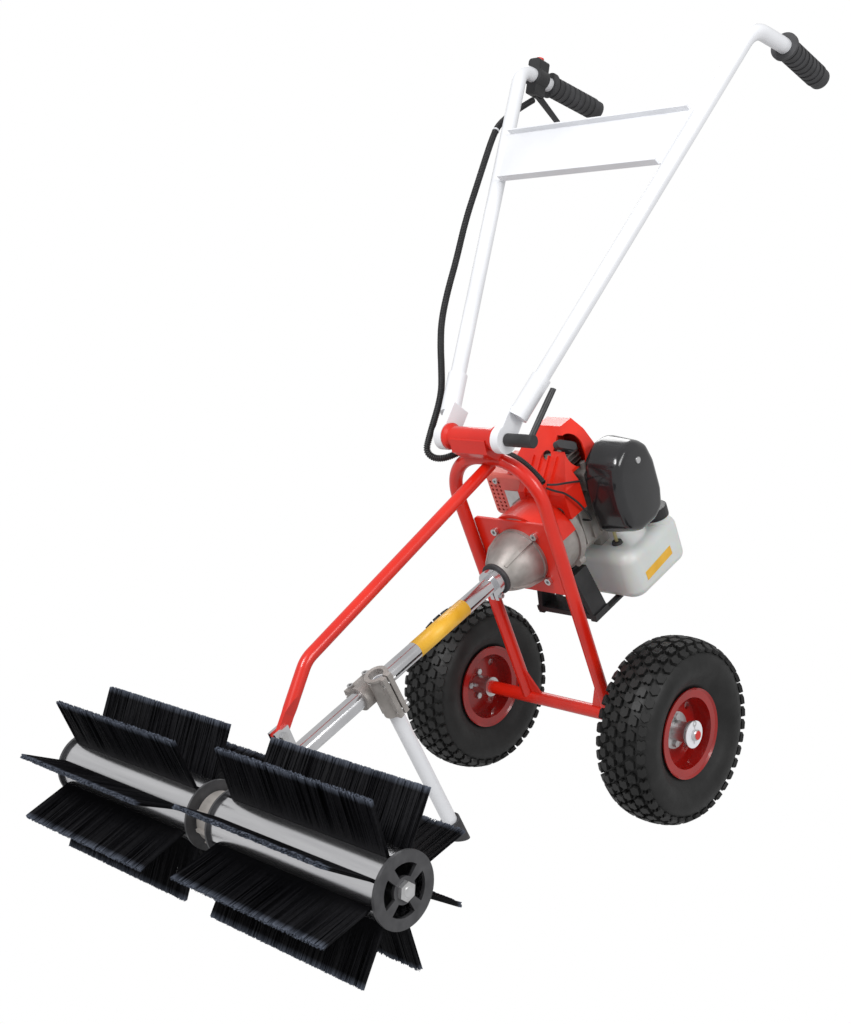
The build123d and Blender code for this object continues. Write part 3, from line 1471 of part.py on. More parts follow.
with BuildPart() as engine_stand:
    with BuildSketch(engine_section(stand_front, 0, 0)):
        for side in (-1, 1):
            Polygon(
                (side * (stand_half - 22), -fan_case_radius - 3.3),
                (side * (stand_half - 22), -fan_case_radius - 9),
                (side * stand_half, stand_foot),
                (side * (stand_half + 6), stand_foot),
                (side * (stand_half - 12), -fan_case_radius - 3.3),
                align=None,
            )
        with Locations((0, tank_bottom + 3)):
            Rectangle(2 * stand_half + 14, 8)
    extrude(amount=stand_front - stand_back)
    with BuildSketch(engine_section(stand_front + 8, 0, -fan_case_radius - 4)):
        Rectangle(2 * stand_half - 44, 8)
    extrude(amount=-18)
    # Prongs under the tank
    with BuildSketch(engine_section(stand_front)):
        with Locations((-stand_half - 1, stand_foot + stand_sheet / 2), (stand_half + 1, stand_foot + stand_sheet / 2)):
            Rectangle(prong_width, stand_sheet)
    extrude(amount=stand_front - prong_end)
    with BuildSketch(engine_section(0)):
        Circle(fan_case_radius + 3.1)
    extrude(amount=-stand_back - 10, mode=Mode.SUBTRACT)
keep(engine_stand, "engine_stand")

# Pull starter at the rear
starter_radius = 52.0
starter_start = crankcase_depth + 0.2
starter_end = 178.0

with BuildPart() as starter_housing:
    with BuildSketch(engine_section(starter_start)):
        Circle(starter_radius)
    extrude(amount=starter_start - starter_end)
    fillet(starter_housing.edges().filter_by(GeomType.CIRCLE).sort_by(Axis(shaft_point(0), back_along_shaft))[-1], 8)
    with BuildSketch(engine_section(starter_start)):
        Circle(starter_radius - 3)
    extrude(amount=starter_start - starter_end + 3, mode=Mode.SUBTRACT)
    with BuildSketch(engine_section(starter_end - 10)):
        with PolarLocations(29, 12):
            SlotOverall(20, 5)
    extrude(amount=-20, mode=Mode.SUBTRACT)
    with BuildSketch(engine_section(starter_start, -starter_radius - 2, -12)):
        RectangleRounded(18, 24, 4)
    extrude(amount=-22)
    with BuildSketch(engine_section(starter_start)):
        Circle(starter_radius - 3)
    extrude(amount=-20, mode=Mode.SUBTRACT)
    with BuildSketch(engine_side(0)):
        with Locations((starter_start + 11, -12)):
            Circle(2.4)
    extrude(amount=-2 * starter_radius, mode=Mode.SUBTRACT)
keep(starter_housing, "starter_housing")

with BuildPart() as starter_handle:
    handle_seat = -starter_radius - 11 - side_gap
    with BuildSketch(engine_side(handle_seat)):
        with Locations((starter_start + 11, -12)):
            Circle(6)
    extrude(amount=-8)
    with BuildSketch(engine_side(handle_seat - 8)):
        with Locations((starter_start + 11, -12)):
            SlotOverall(46, 15, rotation=90)
    extrude(amount=-12)
    fillet(starter_handle.faces().sort_by(Axis.X)[0].edges(), 4)
    with BuildSketch(engine_side(handle_seat)):
        with Locations((starter_start + 11, -12)):
            Circle(1.8)
    extrude(amount=10)
keep(starter_handle, "starter_handle")

# Handlebar, hinged on the pivot tube
handle_foot = Vector(57.0, axle_y - 197.5, 545.0)
handle_corner = Vector(207.0, axle_y + 118.5, 1079.0)
grip_start = Vector(212.1, axle_y + 184.6, 1064.8)
handle_bend = 34.0
grip_length = 115.0
grip_radius = 15.5
ear_start = pivot_half_length + side_gap
ear_thickness_x = 13.2
ear_radius = 19.0
sleeve_start = 24.0
sleeve_length = 62.0
sleeve_radius = handle_tube_radius + 2.6
handle_run = (handle_corner - handle_foot).normalized()
handle_rise = Vector(0, handle_run.Y, handle_run.Z).normalized()
handle_face = Vector(1, 0, 0).cross(handle_rise)
grip_run = Vector(-8.6, 111.3, -29.0).normalized()
grip_end = grip_start + grip_run * (grip_length + 1)
pivot_centre = Vector(0, pivot_y, pivot_z)

with BuildPart() as left_handle_tube:
    # Ear beside the pivot tube and the sleeve that holds the foot of the tube
    with BuildSketch(Plane(pivot_centre + Vector(ear_start, 0, 0), x_dir=handle_rise, z_dir=(1, 0, 0))):
        Circle(ear_radius)
        with Locations((22, 0)):
            Rectangle(44, 2 * ear_radius - 7)
    extrude(amount=ear_thickness_x)
    with BuildSketch(Plane(handle_foot + handle_run * (sleeve_start - 4), z_dir=handle_run)):
        Circle(sleeve_radius)
    extrude(amount=sleeve_length)
    with BuildSketch(Plane(handle_foot + handle_run * sleeve_start, z_dir=handle_run)):
        Circle(handle_tube_radius - handle_tube_wall / 2)
    extrude(amount=sleeve_length + 20, mode=Mode.SUBTRACT)
    with BuildSketch(side_plane(0, pivot_y, pivot_z)):
        Circle(pivot_bolt_radius)
    extrude(amount=80, mode=Mode.SUBTRACT)
    with BuildSketch(side_plane(0, pivot_y, pivot_z)):
        Circle(60)
    extrude(amount=ear_start, mode=Mode.SUBTRACT)
    sweep_tube(
        [handle_foot + handle_run * sleeve_start, handle_corner, grip_start, grip_end],
        [handle_bend, 60.0],
        handle_tube_radius,
        handle_tube_wall,
    )
keep(left_handle_tube, "left_handle_tube")

with BuildPart() as right_handle_tube:
    mirror(left_handle_tube.part, about=Plane.YZ)
keep(right_handle_tube, "right_handle_tube")

# Folded plate across the two tubes
cross_low = Vector(145.8, axle_y + 1.4, 894.9)
cross_high = Vector(168.4, axle_y + 48.3, 967.4)
cross_sheet = 2.5
cross_lip = 11.0
cross_plane = Plane(Vector(0, cross_low.Y, cross_low.Z), x_dir=(1, 0, 0), z_dir=handle_face)
cross_height = (Vector(0, cross_high.Y, cross_high.Z) - Vector(0, cross_low.Y, cross_low.Z)).length

with BuildPart() as handle_crosspiece:
    with BuildSketch(cross_plane):
        Polygon(
            (-cross_low.X - 3, 0),
            (cross_low.X + 3, 0),
            (cross_high.X + 3, cross_height),
            (-cross_high.X - 3, cross_height),
            align=None,
        )
    extrude(amount=cross_sheet / 2, both=True)
    for lip_start, half_width in ((0, cross_low.X - 4), (cross_height - cross_sheet, cross_high.X - 8)):
        with BuildSketch(cross_plane):
            with Locations((0, lip_start + cross_sheet / 2)):
                Rectangle(2 * half_width, cross_sheet)
        extrude(amount=cross_lip)
    for side in (-1, 1):
        bar_foot = Vector(side * handle_foot.X, handle_foot.Y, handle_foot.Z)
        bar_run = Vector(side * handle_run.X, handle_run.Y, handle_run.Z)
        with BuildSketch(Plane(bar_foot, z_dir=bar_run)):
            Circle(handle_tube_radius)
        extrude(amount=620, mode=Mode.SUBTRACT)
keep(handle_crosspiece, "handle_crosspiece")

with BuildPart() as left_grip:
    with BuildSketch(Plane(grip_start + grip_run * 5, z_dir=grip_run)):
        Circle(grip_radius)
    extrude(amount=grip_length)
    with BuildSketch(Plane(grip_start + grip_run * 5, z_dir=grip_run)):
        Circle(grip_radius + 4.5)
    extrude(amount=4)
    with BuildSketch(*[Plane(grip_start + grip_run * (16 + 12 * ring), z_dir=grip_run) for ring in range(8)]):
        Circle(grip_radius + 1.2)
    extrude(amount=7)
    with BuildSketch(Plane(grip_start, z_dir=grip_run)):
        Circle(handle_tube_radius)
    extrude(amount=grip_length + 1, mode=Mode.SUBTRACT)
keep(left_grip, "left_grip")

with BuildPart() as right_grip:
    mirror(left_grip.part, about=Plane.YZ)
keep(right_grip, "right_grip")

# Pivot bolt and the clamp lever on the operator's left
ear_face = ear_start + ear_thickness_x
lever_start = ear_face + side_gap
lever_end = 105.0
lever_barrel_radius = 8.8
lever_length = 77.0

with BuildPart() as pivot_bolt:
    with BuildSketch(side_plane(-ear_face, pivot_y, pivot_z)):
        Circle(pivot_bolt_radius)
    extrude(amount=2 * ear_face + 26)
    with BuildSketch(side_plane(-ear_face - 6, pivot_y, pivot_z)):
        RegularPolygon(9.5, 6)
    extrude(amount=6)
keep(pivot_bolt, "pivot_bolt")

with BuildPart() as clamp_lever:
    with BuildSketch(side_plane(lever_start, pivot_y, pivot_z)):
        Circle(lever_barrel_radius)
    extrude(amount=lever_end - lever_start)
    chamfer(clamp_lever.edges().filter_by(GeomType.CIRCLE), 0.8)
    lever_x = lever_end - 10
    with BuildSketch(Plane((lever_x, pivot_y, pivot_z), x_dir=(1, 0, 0), z_dir=handle_rise)) as lever_root:
        Ellipse(6.5, 5)
    with BuildSketch(
        Plane(Vector(lever_x + 8, pivot_y, pivot_z) + handle_rise * lever_length, x_dir=(1, 0, 0), z_dir=handle_rise)
    ) as lever_tip:
        Ellipse(4.5, 3.6)
    loft([lever_root.sketch, lever_tip.sketch])
    with BuildSketch(side_plane(0, pivot_y, pivot_z)):
        Circle(pivot_bolt_radius + running_gap)
    extrude(amount=ear_face + 27, mode=Mode.SUBTRACT)
keep(clamp_lever, "clamp_lever")

# Controls on the operator's right bar, between the bend and the grip
control_corner = Vector(-handle_corner.X, handle_corner.Y, handle_corner.Z)
control_grip = Vector(-grip_start.X, grip_start.Y, grip_start.Z)
control_run = (control_grip - control_corner).normalized()
control_centre = control_corner + control_run * 42
control_up = (Vector(0, 0, 1) - control_run * control_run.Z).normalized()
control_out = control_run.cross(control_up)
lever_hinge = control_centre - control_up * 25 + control_run * 4
lever_pin_radius = 1.6


def control_section(along):
    """Plane across the control housing; its x points inwards and its y points up."""
    return Plane(control_centre + control_run * along, x_dir=control_out * -1, z_dir=control_run)


with BuildPart() as throttle_housing:
    with BuildSketch(control_section(-13)):
        Circle(handle_tube_radius + 5)
        with Locations((0, 17)):
            RectangleRounded(22, 22, 5)
        with Locations((0, -19)):
            RectangleRounded(18, 20, 4)
        Circle(handle_tube_radius, mode=Mode.SUBTRACT)
    extrude(amount=26)
    with BuildSketch(Plane(control_centre + control_up * 20, x_dir=control_run, z_dir=control_up)):
        Circle(7)
    extrude(amount=14, mode=Mode.SUBTRACT)
    # Slot for the throttle lever
    with BuildSketch(control_section(-2)):
        with Locations((0, -23)):
            Rectangle(7, 18)
    extrude(amount=40, mode=Mode.SUBTRACT)
    # Pin of the throttle lever
    with BuildSketch(Plane(lever_hinge - control_out * 8, z_dir=control_out)):
        Circle(lever_pin_radius)
    extrude(amount=16)
keep(throttle_housing, "throttle_housing")

with BuildPart() as throttle_lever:
    with BuildSketch(Plane(lever_hinge - control_out * 3, x_dir=control_run, z_dir=control_out)):
        Circle(4.5)
        Polygon((0, -4.4), (0, 4.4), (8, 2), (64, -20), (71, -26), (66, -29), (56, -24), align=None)
        Circle(lever_pin_radius + running_gap, mode=Mode.SUBTRACT)
    extrude(amount=6)
keep(throttle_lever, "throttle_lever")

with BuildPart() as stop_button:
    with BuildSketch(Plane(control_centre + control_up * 22, z_dir=control_up)):
        Circle(6.7)
    extrude(amount=10)
    fillet(stop_button.faces().sort_by(Axis((0, 0, 0), control_up))[-1].edges(), 1.5)
keep(stop_button, "stop_button")

# Conduit of the throttle wire and the stop wire, down to the pivot and on to the engine
conduit_radius = 5.0
conduit_ball_radius = 6.5
cord_bend_share = 0.45
conduit_split = Vector(-84.0, pivot_y, pivot_z)


def cord_radii(points):
    """Largest bend radii that the runs between the points allow."""
    radii = []
    for before, corner, after in zip(points, points[1:], points[2:]):
        arriving = corner - before
        leaving = after - corner
        turn = radians(arriving.get_angle(leaving))
        radii.append(cord_bend_share * min(arriving.length, leaving.length) / tan(turn / 2))
    return radii


def sweep_cord(points, radius):
    """Sweep a cord along its route, in the builder that is open, and print its bends."""
    bends = cord_radii(points)
    print("bend radii", [round(bend, 1) for bend in bends])
    with BuildLine() as route:
        FilletPolyline(*points, radius=bends)
    with BuildSketch(Plane(route.line @ 0, z_dir=route.line % 0)) as section:
        Circle(radius)
    sweep(section.sketch, path=route.line)


with BuildPart() as handle_conduit:
    sweep_cord(
        [
            control_centre - control_up * 29.4 - control_run * 7.5,
            control_centre - control_up * 38 - control_run * 7.5,
            Vector(-216, axle_y + 118, 1018),
            Vector(-206, axle_y + 66, 990),
            Vector(-197, axle_y + 42, 966),
            Vector(-187, axle_y + 16, 932),
            Vector(-182, axle_y - 8, 890),
            Vector(-176, axle_y - 38, 838),
            Vector(-162, axle_y - 73, 775),
            Vector(-154, axle_y - 98, 733),
            Vector(-142, axle_y - 123, 690),
            Vector(-126, axle_y - 141, 655),
            Vector(-107, axle_y - 158, 620),
            Vector(-89, axle_y - 176, 586),
            conduit_split,
        ],
        conduit_radius,
    )
    with Locations(conduit_split):
        Sphere(conduit_ball_radius)
keep(handle_conduit, "handle_conduit")

with BuildPart() as frame_conduit:
    sweep_cord(
        [
            conduit_split,
            Vector(-86, axle_y - 211, 508),
            Vector(-75, axle_y - 194, 497),
            Vector(-56, axle_y - 164, 511),
            Vector(-34, axle_y - 145, 514),
            Vector(-6, axle_y - 136, 509),
            Vector(30, axle_y - 133, 496),
            Vector(60, axle_y - 132.7, 471.4),
        ],
        conduit_radius,
    )
    with Locations(conduit_split):
        Sphere(conduit_ball_radius + side_gap, mode=Mode.SUBTRACT)
keep(frame_conduit, "frame_conduit")

# The two wires that leave the conduit at its clip
wire_radius = 1.5
clip_point = Vector(60, axle_y - 132.7, 471.4)

with BuildPart() as engine_wires:
    sweep_cord(
        [
            clip_point + Vector(6, 2, -2),
            clip_point + Vector(9, 16, -3),
            clip_point + Vector(8, 44, -2),
            Vector(66, axle_y - 58, 469.5),
            Vector(50, axle_y - 38.9, 466.9),
        ],
        wire_radius,
    )
    sweep_cord(
        [
            clip_point + Vector(5, 2, -7),
            clip_point + Vector(7, 18, -12),
            Vector(64, axle_y - 92, 455),
            Vector(68, axle_y - 66, 440),
            Vector(61, axle_y - 25.8, 410.7),
            Vector(43.3, axle_y - 25.8, 410.7),
        ],
        wire_radius,
    )
keep(engine_wires, "engine_wires")

# Screws and bolts of the frame, the boom and the engine
with BuildPart() as frame_screws:
    for bolt_x in (-half_bolt_pitch, half_bolt_pitch):
        for bolt_up in (-half_bolt_pitch, half_bolt_pitch):
            cap_screw(shaft_section(engine_plate_station, bolt_x, bolt_up), 5.2, 5.0, engine_bolt_radius, 16)
    for screw_plane in screw_planes:
        cap_screw(screw_plane, 4.2, 4.0, bracket_screw_radius, 2 * ear_thickness + bracket_slit - 1)
    for pinch_point in (
        shaft_point(gearbox_mouth_station - 6, 7.5, gear_neck_radius + 4.5),
        shaft_point(clutch_collar_station + 4.7, 7.5, -clutch_neck_radius - 3),
    ):
        cap_screw(Plane(pinch_point, x_dir=(0, 1, 0), z_dir=(1, 0, 0)), 3.6, 3.5, 2.0, 14.5)
    clamp_face = strut_flat_thickness / 2 + side_gap / 3 + 4
    hex_screw(side_plane(clamp_face, strut_tip.Y, strut_tip.Z), 5.8, 4.0, strut_bolt_radius, 2 * clamp_face + 7)
    with BuildSketch(side_plane(-clamp_face - 5, strut_tip.Y, strut_tip.Z)) as strut_nut:
        RegularPolygon(5.8, 6)
    extrude(strut_nut.sketch, amount=5)
    cap_screw(engine_section(guard_front, guard_outer_x + 22, guard_top - 12), 4.2, 4.0, 2.4, 7)
    filter_screw_point = shaft_point(engine_face_station + filter_screw_depth, filter_end_x, 44)
    cap_screw(Plane(filter_screw_point, x_dir=(0, 1, 0), z_dir=(1, 0, 0)), 5.5, 3.5, 2.4, 2.0)
keep(frame_screws, "frame_screws")
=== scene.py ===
from math import cos, pi, radians, sin

import bpy
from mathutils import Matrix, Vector


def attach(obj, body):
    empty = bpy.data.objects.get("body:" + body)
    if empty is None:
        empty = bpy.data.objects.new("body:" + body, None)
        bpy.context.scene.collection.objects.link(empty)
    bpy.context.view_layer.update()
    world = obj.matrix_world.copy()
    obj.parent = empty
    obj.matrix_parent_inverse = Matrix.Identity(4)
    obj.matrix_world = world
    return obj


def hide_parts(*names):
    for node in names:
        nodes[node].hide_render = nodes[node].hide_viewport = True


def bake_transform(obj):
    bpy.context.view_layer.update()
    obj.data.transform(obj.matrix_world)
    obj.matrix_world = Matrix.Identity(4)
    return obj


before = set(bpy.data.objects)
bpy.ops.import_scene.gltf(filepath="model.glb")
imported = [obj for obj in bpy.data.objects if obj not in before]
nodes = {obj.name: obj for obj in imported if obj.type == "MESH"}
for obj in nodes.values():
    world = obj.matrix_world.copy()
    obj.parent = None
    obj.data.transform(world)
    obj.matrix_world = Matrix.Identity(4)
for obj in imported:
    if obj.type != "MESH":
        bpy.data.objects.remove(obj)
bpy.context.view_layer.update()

# Positions follow the axle and the drive shaft, which climbs from the brush to the engine.
axleY = 0.2106
axleHeight = 0.130
wheelTrack = 0.370
brushCentre = Vector((0, axleY - 0.624, 0.110))
shaftSlope = radians(26)
alongShaft = Vector((0, cos(shaftSlope), sin(shaftSlope)))
upShaft = Vector((0, -sin(shaftSlope), cos(shaftSlope)))
engineStation = 0.5815


def shaftPoint(station, x, up):
    return brushCentre + alongShaft * station + upShaft * up + Vector((x, 0, 0))


def enginePoint(depth, x, up):
    return shaftPoint(engineStation + depth, x, up)


def axlePoint(x):
    return Vector((x, axleY, axleHeight))


def deselect():
    if bpy.context.mode != "OBJECT":
        bpy.ops.object.mode_set(mode="OBJECT")
    bpy.ops.object.select_all(action="DESELECT")


def choose(piece):
    deselect()
    bpy.context.view_layer.objects.active = piece
    piece.select_set(True)


def bakePlace(piece):
    choose(piece)
    bpy.ops.object.transform_apply(location=True, rotation=True, scale=True)


def settle(name):
    piece = bpy.context.active_object
    piece.name = name
    bakePlace(piece)
    return piece


def applyModifiers(piece):
    choose(piece)
    for modifier in list(piece.modifiers):
        bpy.ops.object.modifier_apply(modifier=modifier.name)


def smooth(piece):
    choose(piece)
    bpy.ops.object.shade_smooth()


def editAll():
    bpy.ops.object.mode_set(mode="EDIT")
    bpy.ops.mesh.select_all(action="SELECT")


# Repeats the active piece in equal steps round the X axis
def repeatRound(count):
    editAll()
    bpy.ops.mesh.spin(
        steps=count - 1, dupli=True, angle=2 * pi * (1 - 1 / count), center=(0, 0, 0), axis=(1, 0, 0)
    )
    bpy.ops.object.mode_set(mode="OBJECT")


# Bar between two points, whose far end is widen times as thick as its near end
def rod(name, start, end, radius, sides, widen=1.0):
    deselect()
    run = end - start
    bpy.ops.mesh.primitive_cone_add(
        vertices=sides,
        radius1=radius,
        radius2=radius * widen,
        depth=run.length,
        location=(start + end) / 2,
        rotation=run.to_track_quat("Z", "Y").to_euler(),
    )
    return settle(name)


# Box with rounded edges, or sharp ones where rounding is 0
def block(name, centre, size, turn, rounding):
    deselect()
    bpy.ops.mesh.primitive_cube_add(size=1, location=centre, rotation=turn)
    bpy.context.active_object.scale = size
    piece = settle(name)
    if rounding:
        bevel = piece.modifiers.new("rounding", "BEVEL")
        bevel.width = rounding
        bevel.segments = 3
        bevel.limit_method = "NONE"
        applyModifiers(piece)
    return piece


# Closed moulding: a flat outline pushed out along a vector, with its far face tapered
def pushOutline(name, corners, push, taper):
    deselect()
    bpy.ops.mesh.primitive_circle_add(vertices=len(corners), radius=1, fill_type="NGON")
    piece = settle(name)
    for vertex, corner in zip(piece.data.vertices, corners):
        vertex.co = corner
    editAll()
    bpy.ops.mesh.extrude_region_move(TRANSFORM_OT_translate={"value": push})
    bpy.ops.transform.resize(value=taper)
    bpy.ops.mesh.select_all(action="SELECT")
    bpy.ops.mesh.normals_make_consistent(inside=False)
    bpy.ops.object.mode_set(mode="OBJECT")
    return piece


def join(name, pieces):
    deselect()
    for piece in pieces:
        piece.select_set(True)
    bpy.context.view_layer.objects.active = pieces[0]
    bpy.ops.object.join()
    pieces[0].name = name
    return pieces[0]


def dress(piece, material, hides=()):
    piece.data.materials.clear()
    piece.data.materials.append(material)
    if hides:
        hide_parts(*hides)


def place(piece, body, material, hides=()):
    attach(piece, body)
    dress(piece, material, hides)


# Every surface drifts a little in colour, gloss and relief with fine noise.
surface = {
    "lowAt": 0.32,
    "highAt": 0.68,
    "glossLow": 0.85,
    "glossHigh": 1.2,
    "coatRough": 0.08,
    "milkDepth": 0.01,
    "relief": 0.0004,
}


def makeMaterial(name, facts):
    material = bpy.data.materials.new(name)
    material.use_nodes = True
    tree = material.node_tree
    shader = tree.nodes["Principled BSDF"]
    coords = tree.nodes.new("ShaderNodeTexCoord")
    mapping = tree.nodes.new("ShaderNodeMapping")
    mapping.inputs["Scale"].default_value = facts.get("stretch", (1, 1, 1))
    tree.links.new(coords.outputs["Object"], mapping.inputs["Vector"])

    def noise(scale, detail):
        node = tree.nodes.new("ShaderNodeTexNoise")
        node.inputs["Scale"].default_value = scale
        node.inputs["Detail"].default_value = detail
        tree.links.new(mapping.outputs["Vector"], node.inputs["Vector"])
        return node

    broad = noise(facts["scale"], 4)
    ramp = tree.nodes.new("ShaderNodeValToRGB")
    ramp.color_ramp.elements[0].position = surface["lowAt"]
    ramp.color_ramp.elements[0].color = (*facts["low"], 1)
    ramp.color_ramp.elements[1].position = surface["highAt"]
    ramp.color_ramp.elements[1].color = (*facts["high"], 1)
    tree.links.new(broad.outputs["Fac"], ramp.inputs["Fac"])
    tree.links.new(ramp.outputs["Color"], shader.inputs["Base Color"])
    gloss = tree.nodes.new("ShaderNodeMapRange")
    gloss.inputs["To Min"].default_value = facts["rough"] * surface["glossLow"]
    gloss.inputs["To Max"].default_value = facts["rough"] * surface["glossHigh"]
    tree.links.new(noise(facts["scale"] * 3, 3).outputs["Fac"], gloss.inputs["Value"])
    tree.links.new(gloss.outputs["Result"], shader.inputs["Roughness"])
    bump = tree.nodes.new("ShaderNodeBump")
    bump.inputs["Strength"].default_value = facts["bump"]
    bump.inputs["Distance"].default_value = surface["relief"]
    tree.links.new(noise(facts.get("grain", 500), 2).outputs["Fac"], bump.inputs["Height"])
    tree.links.new(bump.outputs["Normal"], shader.inputs["Normal"])
    shader.inputs["Metallic"].default_value = facts.get("metal", 0)
    shader.inputs["Coat Weight"].default_value = facts.get("coat", 0)
    shader.inputs["Coat Roughness"].default_value = surface["coatRough"]
    shader.inputs["Transmission Weight"].default_value = facts.get("clear", 0)
    shader.inputs["Subsurface Weight"].default_value = facts.get("milky", 0)
    shader.inputs["Subsurface Scale"].default_value = surface["milkDepth"]
    shader.inputs["Specular IOR Level"].default_value = facts.get("shine", 0.5)
    return material


redPaint = makeMaterial(
    "redPaint",
    {"low": (0.58, 0.010, 0.003), "high": (0.70, 0.018, 0.005), "rough": 0.30, "coat": 0.3, "bump": 0.01,
     "scale": 12},
)
rimPaint = makeMaterial(
    "rimPaint",
    {"low": (0.26, 0.004, 0.003), "high": (0.38, 0.008, 0.005), "rough": 0.25, "coat": 0.4, "bump": 0.02,
     "scale": 18},
)
guardPaint = makeMaterial(
    "guardPaint",
    {"low": (0.70, 0.10, 0.08), "high": (0.80, 0.17, 0.13), "rough": 0.38, "coat": 0.3, "bump": 0.08,
     "scale": 25},
)
redPlastic = makeMaterial(
    "redPlastic",
    {"low": (0.64, 0.014, 0.004), "high": (0.76, 0.024, 0.007), "rough": 0.30, "coat": 0.3, "bump": 0.03,
     "scale": 20},
)
whitePaint = makeMaterial(
    "whitePaint",
    {"low": (0.76, 0.77, 0.80), "high": (0.83, 0.84, 0.87), "rough": 0.30, "coat": 0.3, "bump": 0.008,
     "scale": 10},
)
tyreRubber = makeMaterial(
    "tyreRubber",
    {"low": (0.006, 0.006, 0.006), "high": (0.014, 0.014, 0.014), "rough": 0.5, "shine": 0.4, "bump": 0.25,
     "scale": 40, "grain": 900},
)
softRubber = makeMaterial(
    "softRubber",
    {"low": (0.030, 0.030, 0.032), "high": (0.050, 0.050, 0.054), "rough": 0.58, "bump": 0.2, "scale": 60,
     "grain": 1200},
)
blackPlastic = makeMaterial(
    "blackPlastic",
    {"low": (0.016, 0.016, 0.017), "high": (0.026, 0.026, 0.028), "rough": 0.42, "bump": 0.2, "scale": 50,
     "grain": 1500},
)
glossBlack = makeMaterial(
    "glossBlack",
    {"low": (0.010, 0.010, 0.011), "high": (0.017, 0.017, 0.019), "rough": 0.2, "coat": 0.4, "bump": 0.05,
     "scale": 30},
)
castMetal = makeMaterial(
    "castMetal",
    {"low": (0.33, 0.31, 0.29), "high": (0.45, 0.42, 0.40), "rough": 0.5, "metal": 0.55, "bump": 0.45,
     "scale": 60, "grain": 700},
)
polished = makeMaterial(
    "polished",
    {"low": (0.72, 0.72, 0.74), "high": (0.86, 0.86, 0.88), "rough": 0.2, "metal": 1, "bump": 0.03,
     "stretch": (0.05, 1, 1), "scale": 90, "grain": 1400},
)
boomMetal = makeMaterial(
    "boomMetal",
    {"low": (0.66, 0.66, 0.68), "high": (0.82, 0.82, 0.84), "rough": 0.16, "metal": 1, "bump": 0.01,
     "scale": 20},
)
zinc = makeMaterial(
    "zinc",
    {"low": (0.58, 0.58, 0.58), "high": (0.74, 0.74, 0.75), "rough": 0.32, "metal": 0.9, "bump": 0.15,
     "scale": 90},
)
discMetal = makeMaterial(
    "discMetal",
    {"low": (0.060, 0.060, 0.064), "high": (0.095, 0.095, 0.100), "rough": 0.4, "metal": 0.4, "bump": 0.12,
     "scale": 60},
)
gearSteel = makeMaterial(
    "gearSteel",
    {"low": (0.36, 0.36, 0.37), "high": (0.50, 0.50, 0.51), "rough": 0.3, "metal": 1, "bump": 0.1,
     "scale": 120},
)
bronze = makeMaterial(
    "bronze",
    {"low": (0.50, 0.36, 0.18), "high": (0.62, 0.47, 0.26), "rough": 0.35, "metal": 1, "bump": 0.1,
     "scale": 100},
)
sootMetal = makeMaterial(
    "sootMetal",
    {"low": (0.22, 0.21, 0.20), "high": (0.36, 0.34, 0.32), "rough": 0.5, "metal": 0.8, "bump": 0.2,
     "scale": 70},
)
tankPlastic = makeMaterial(
    "tankPlastic",
    {"low": (0.72, 0.72, 0.70), "high": (0.80, 0.80, 0.79), "rough": 0.36, "clear": 0.08, "milky": 0.3,
     "bump": 0.12, "scale": 16, "grain": 300},
)
bandYellow = makeMaterial(
    "bandYellow",
    {"low": (0.80, 0.42, 0.02), "high": (0.88, 0.50, 0.05), "rough": 0.4, "bump": 0.05, "scale": 50},
)
fuelHose = makeMaterial(
    "fuelHose",
    {"low": (0.55, 0.50, 0.24), "high": (0.66, 0.60, 0.32), "rough": 0.35, "clear": 0.2, "bump": 0.05,
     "scale": 60},
)
bristleFibre = makeMaterial(
    "bristleFibre",
    {"low": (0.002, 0.002, 0.003), "high": (0.006, 0.006, 0.008), "rough": 0.6, "shine": 0.15, "bump": 0.05,
     "scale": 300},
)

# Painted sheen: bristles turn from near-black at the strip to blue-grey at the tips, a colour that stands for
# the grey glints of light over the bristle face.
paintedTipSheen = {"from": 0.0975, "to": 0.1065, "colour": (0.10, 0.115, 0.15, 1)}


def paintTipSheen(material):
    tree = material.node_tree
    coords = tree.nodes.new("ShaderNodeTexCoord")
    fromCentre = tree.nodes.new("ShaderNodeVectorMath")
    fromCentre.operation = "SUBTRACT"
    fromCentre.inputs[1].default_value = brushCentre
    fromAxis = tree.nodes.new("ShaderNodeVectorMath")
    fromAxis.operation = "MULTIPLY"
    fromAxis.inputs[1].default_value = (0, 1, 1)
    reach = tree.nodes.new("ShaderNodeVectorMath")
    reach.operation = "LENGTH"
    share = tree.nodes.new("ShaderNodeMapRange")
    share.inputs["From Min"].default_value = paintedTipSheen["from"]
    share.inputs["From Max"].default_value = paintedTipSheen["to"]
    mixed = tree.nodes.new("ShaderNodeMix")
    mixed.data_type = "RGBA"
    # The blue-grey tip colour is painted sheen, not a colour of the fibre.
    mixed.inputs[7].default_value = paintedTipSheen["colour"]
    tree.links.new(coords.outputs["Object"], fromCentre.inputs[0])
    tree.links.new(fromCentre.outputs["Vector"], fromAxis.inputs[0])
    tree.links.new(fromAxis.outputs["Vector"], reach.inputs[0])
    tree.links.new(reach.outputs["Value"], share.inputs["Value"])
    tree.links.new(share.outputs["Result"], mixed.inputs[0])
    tree.links.new(tree.nodes["Color Ramp"].outputs["Color"], mixed.inputs[6])
    tree.links.new(mixed.outputs[2], tree.nodes["Principled BSDF"].inputs["Base Color"])


# Paints the blue-grey sheen onto the bristle tips.
paintTipSheen(bristleFibre)

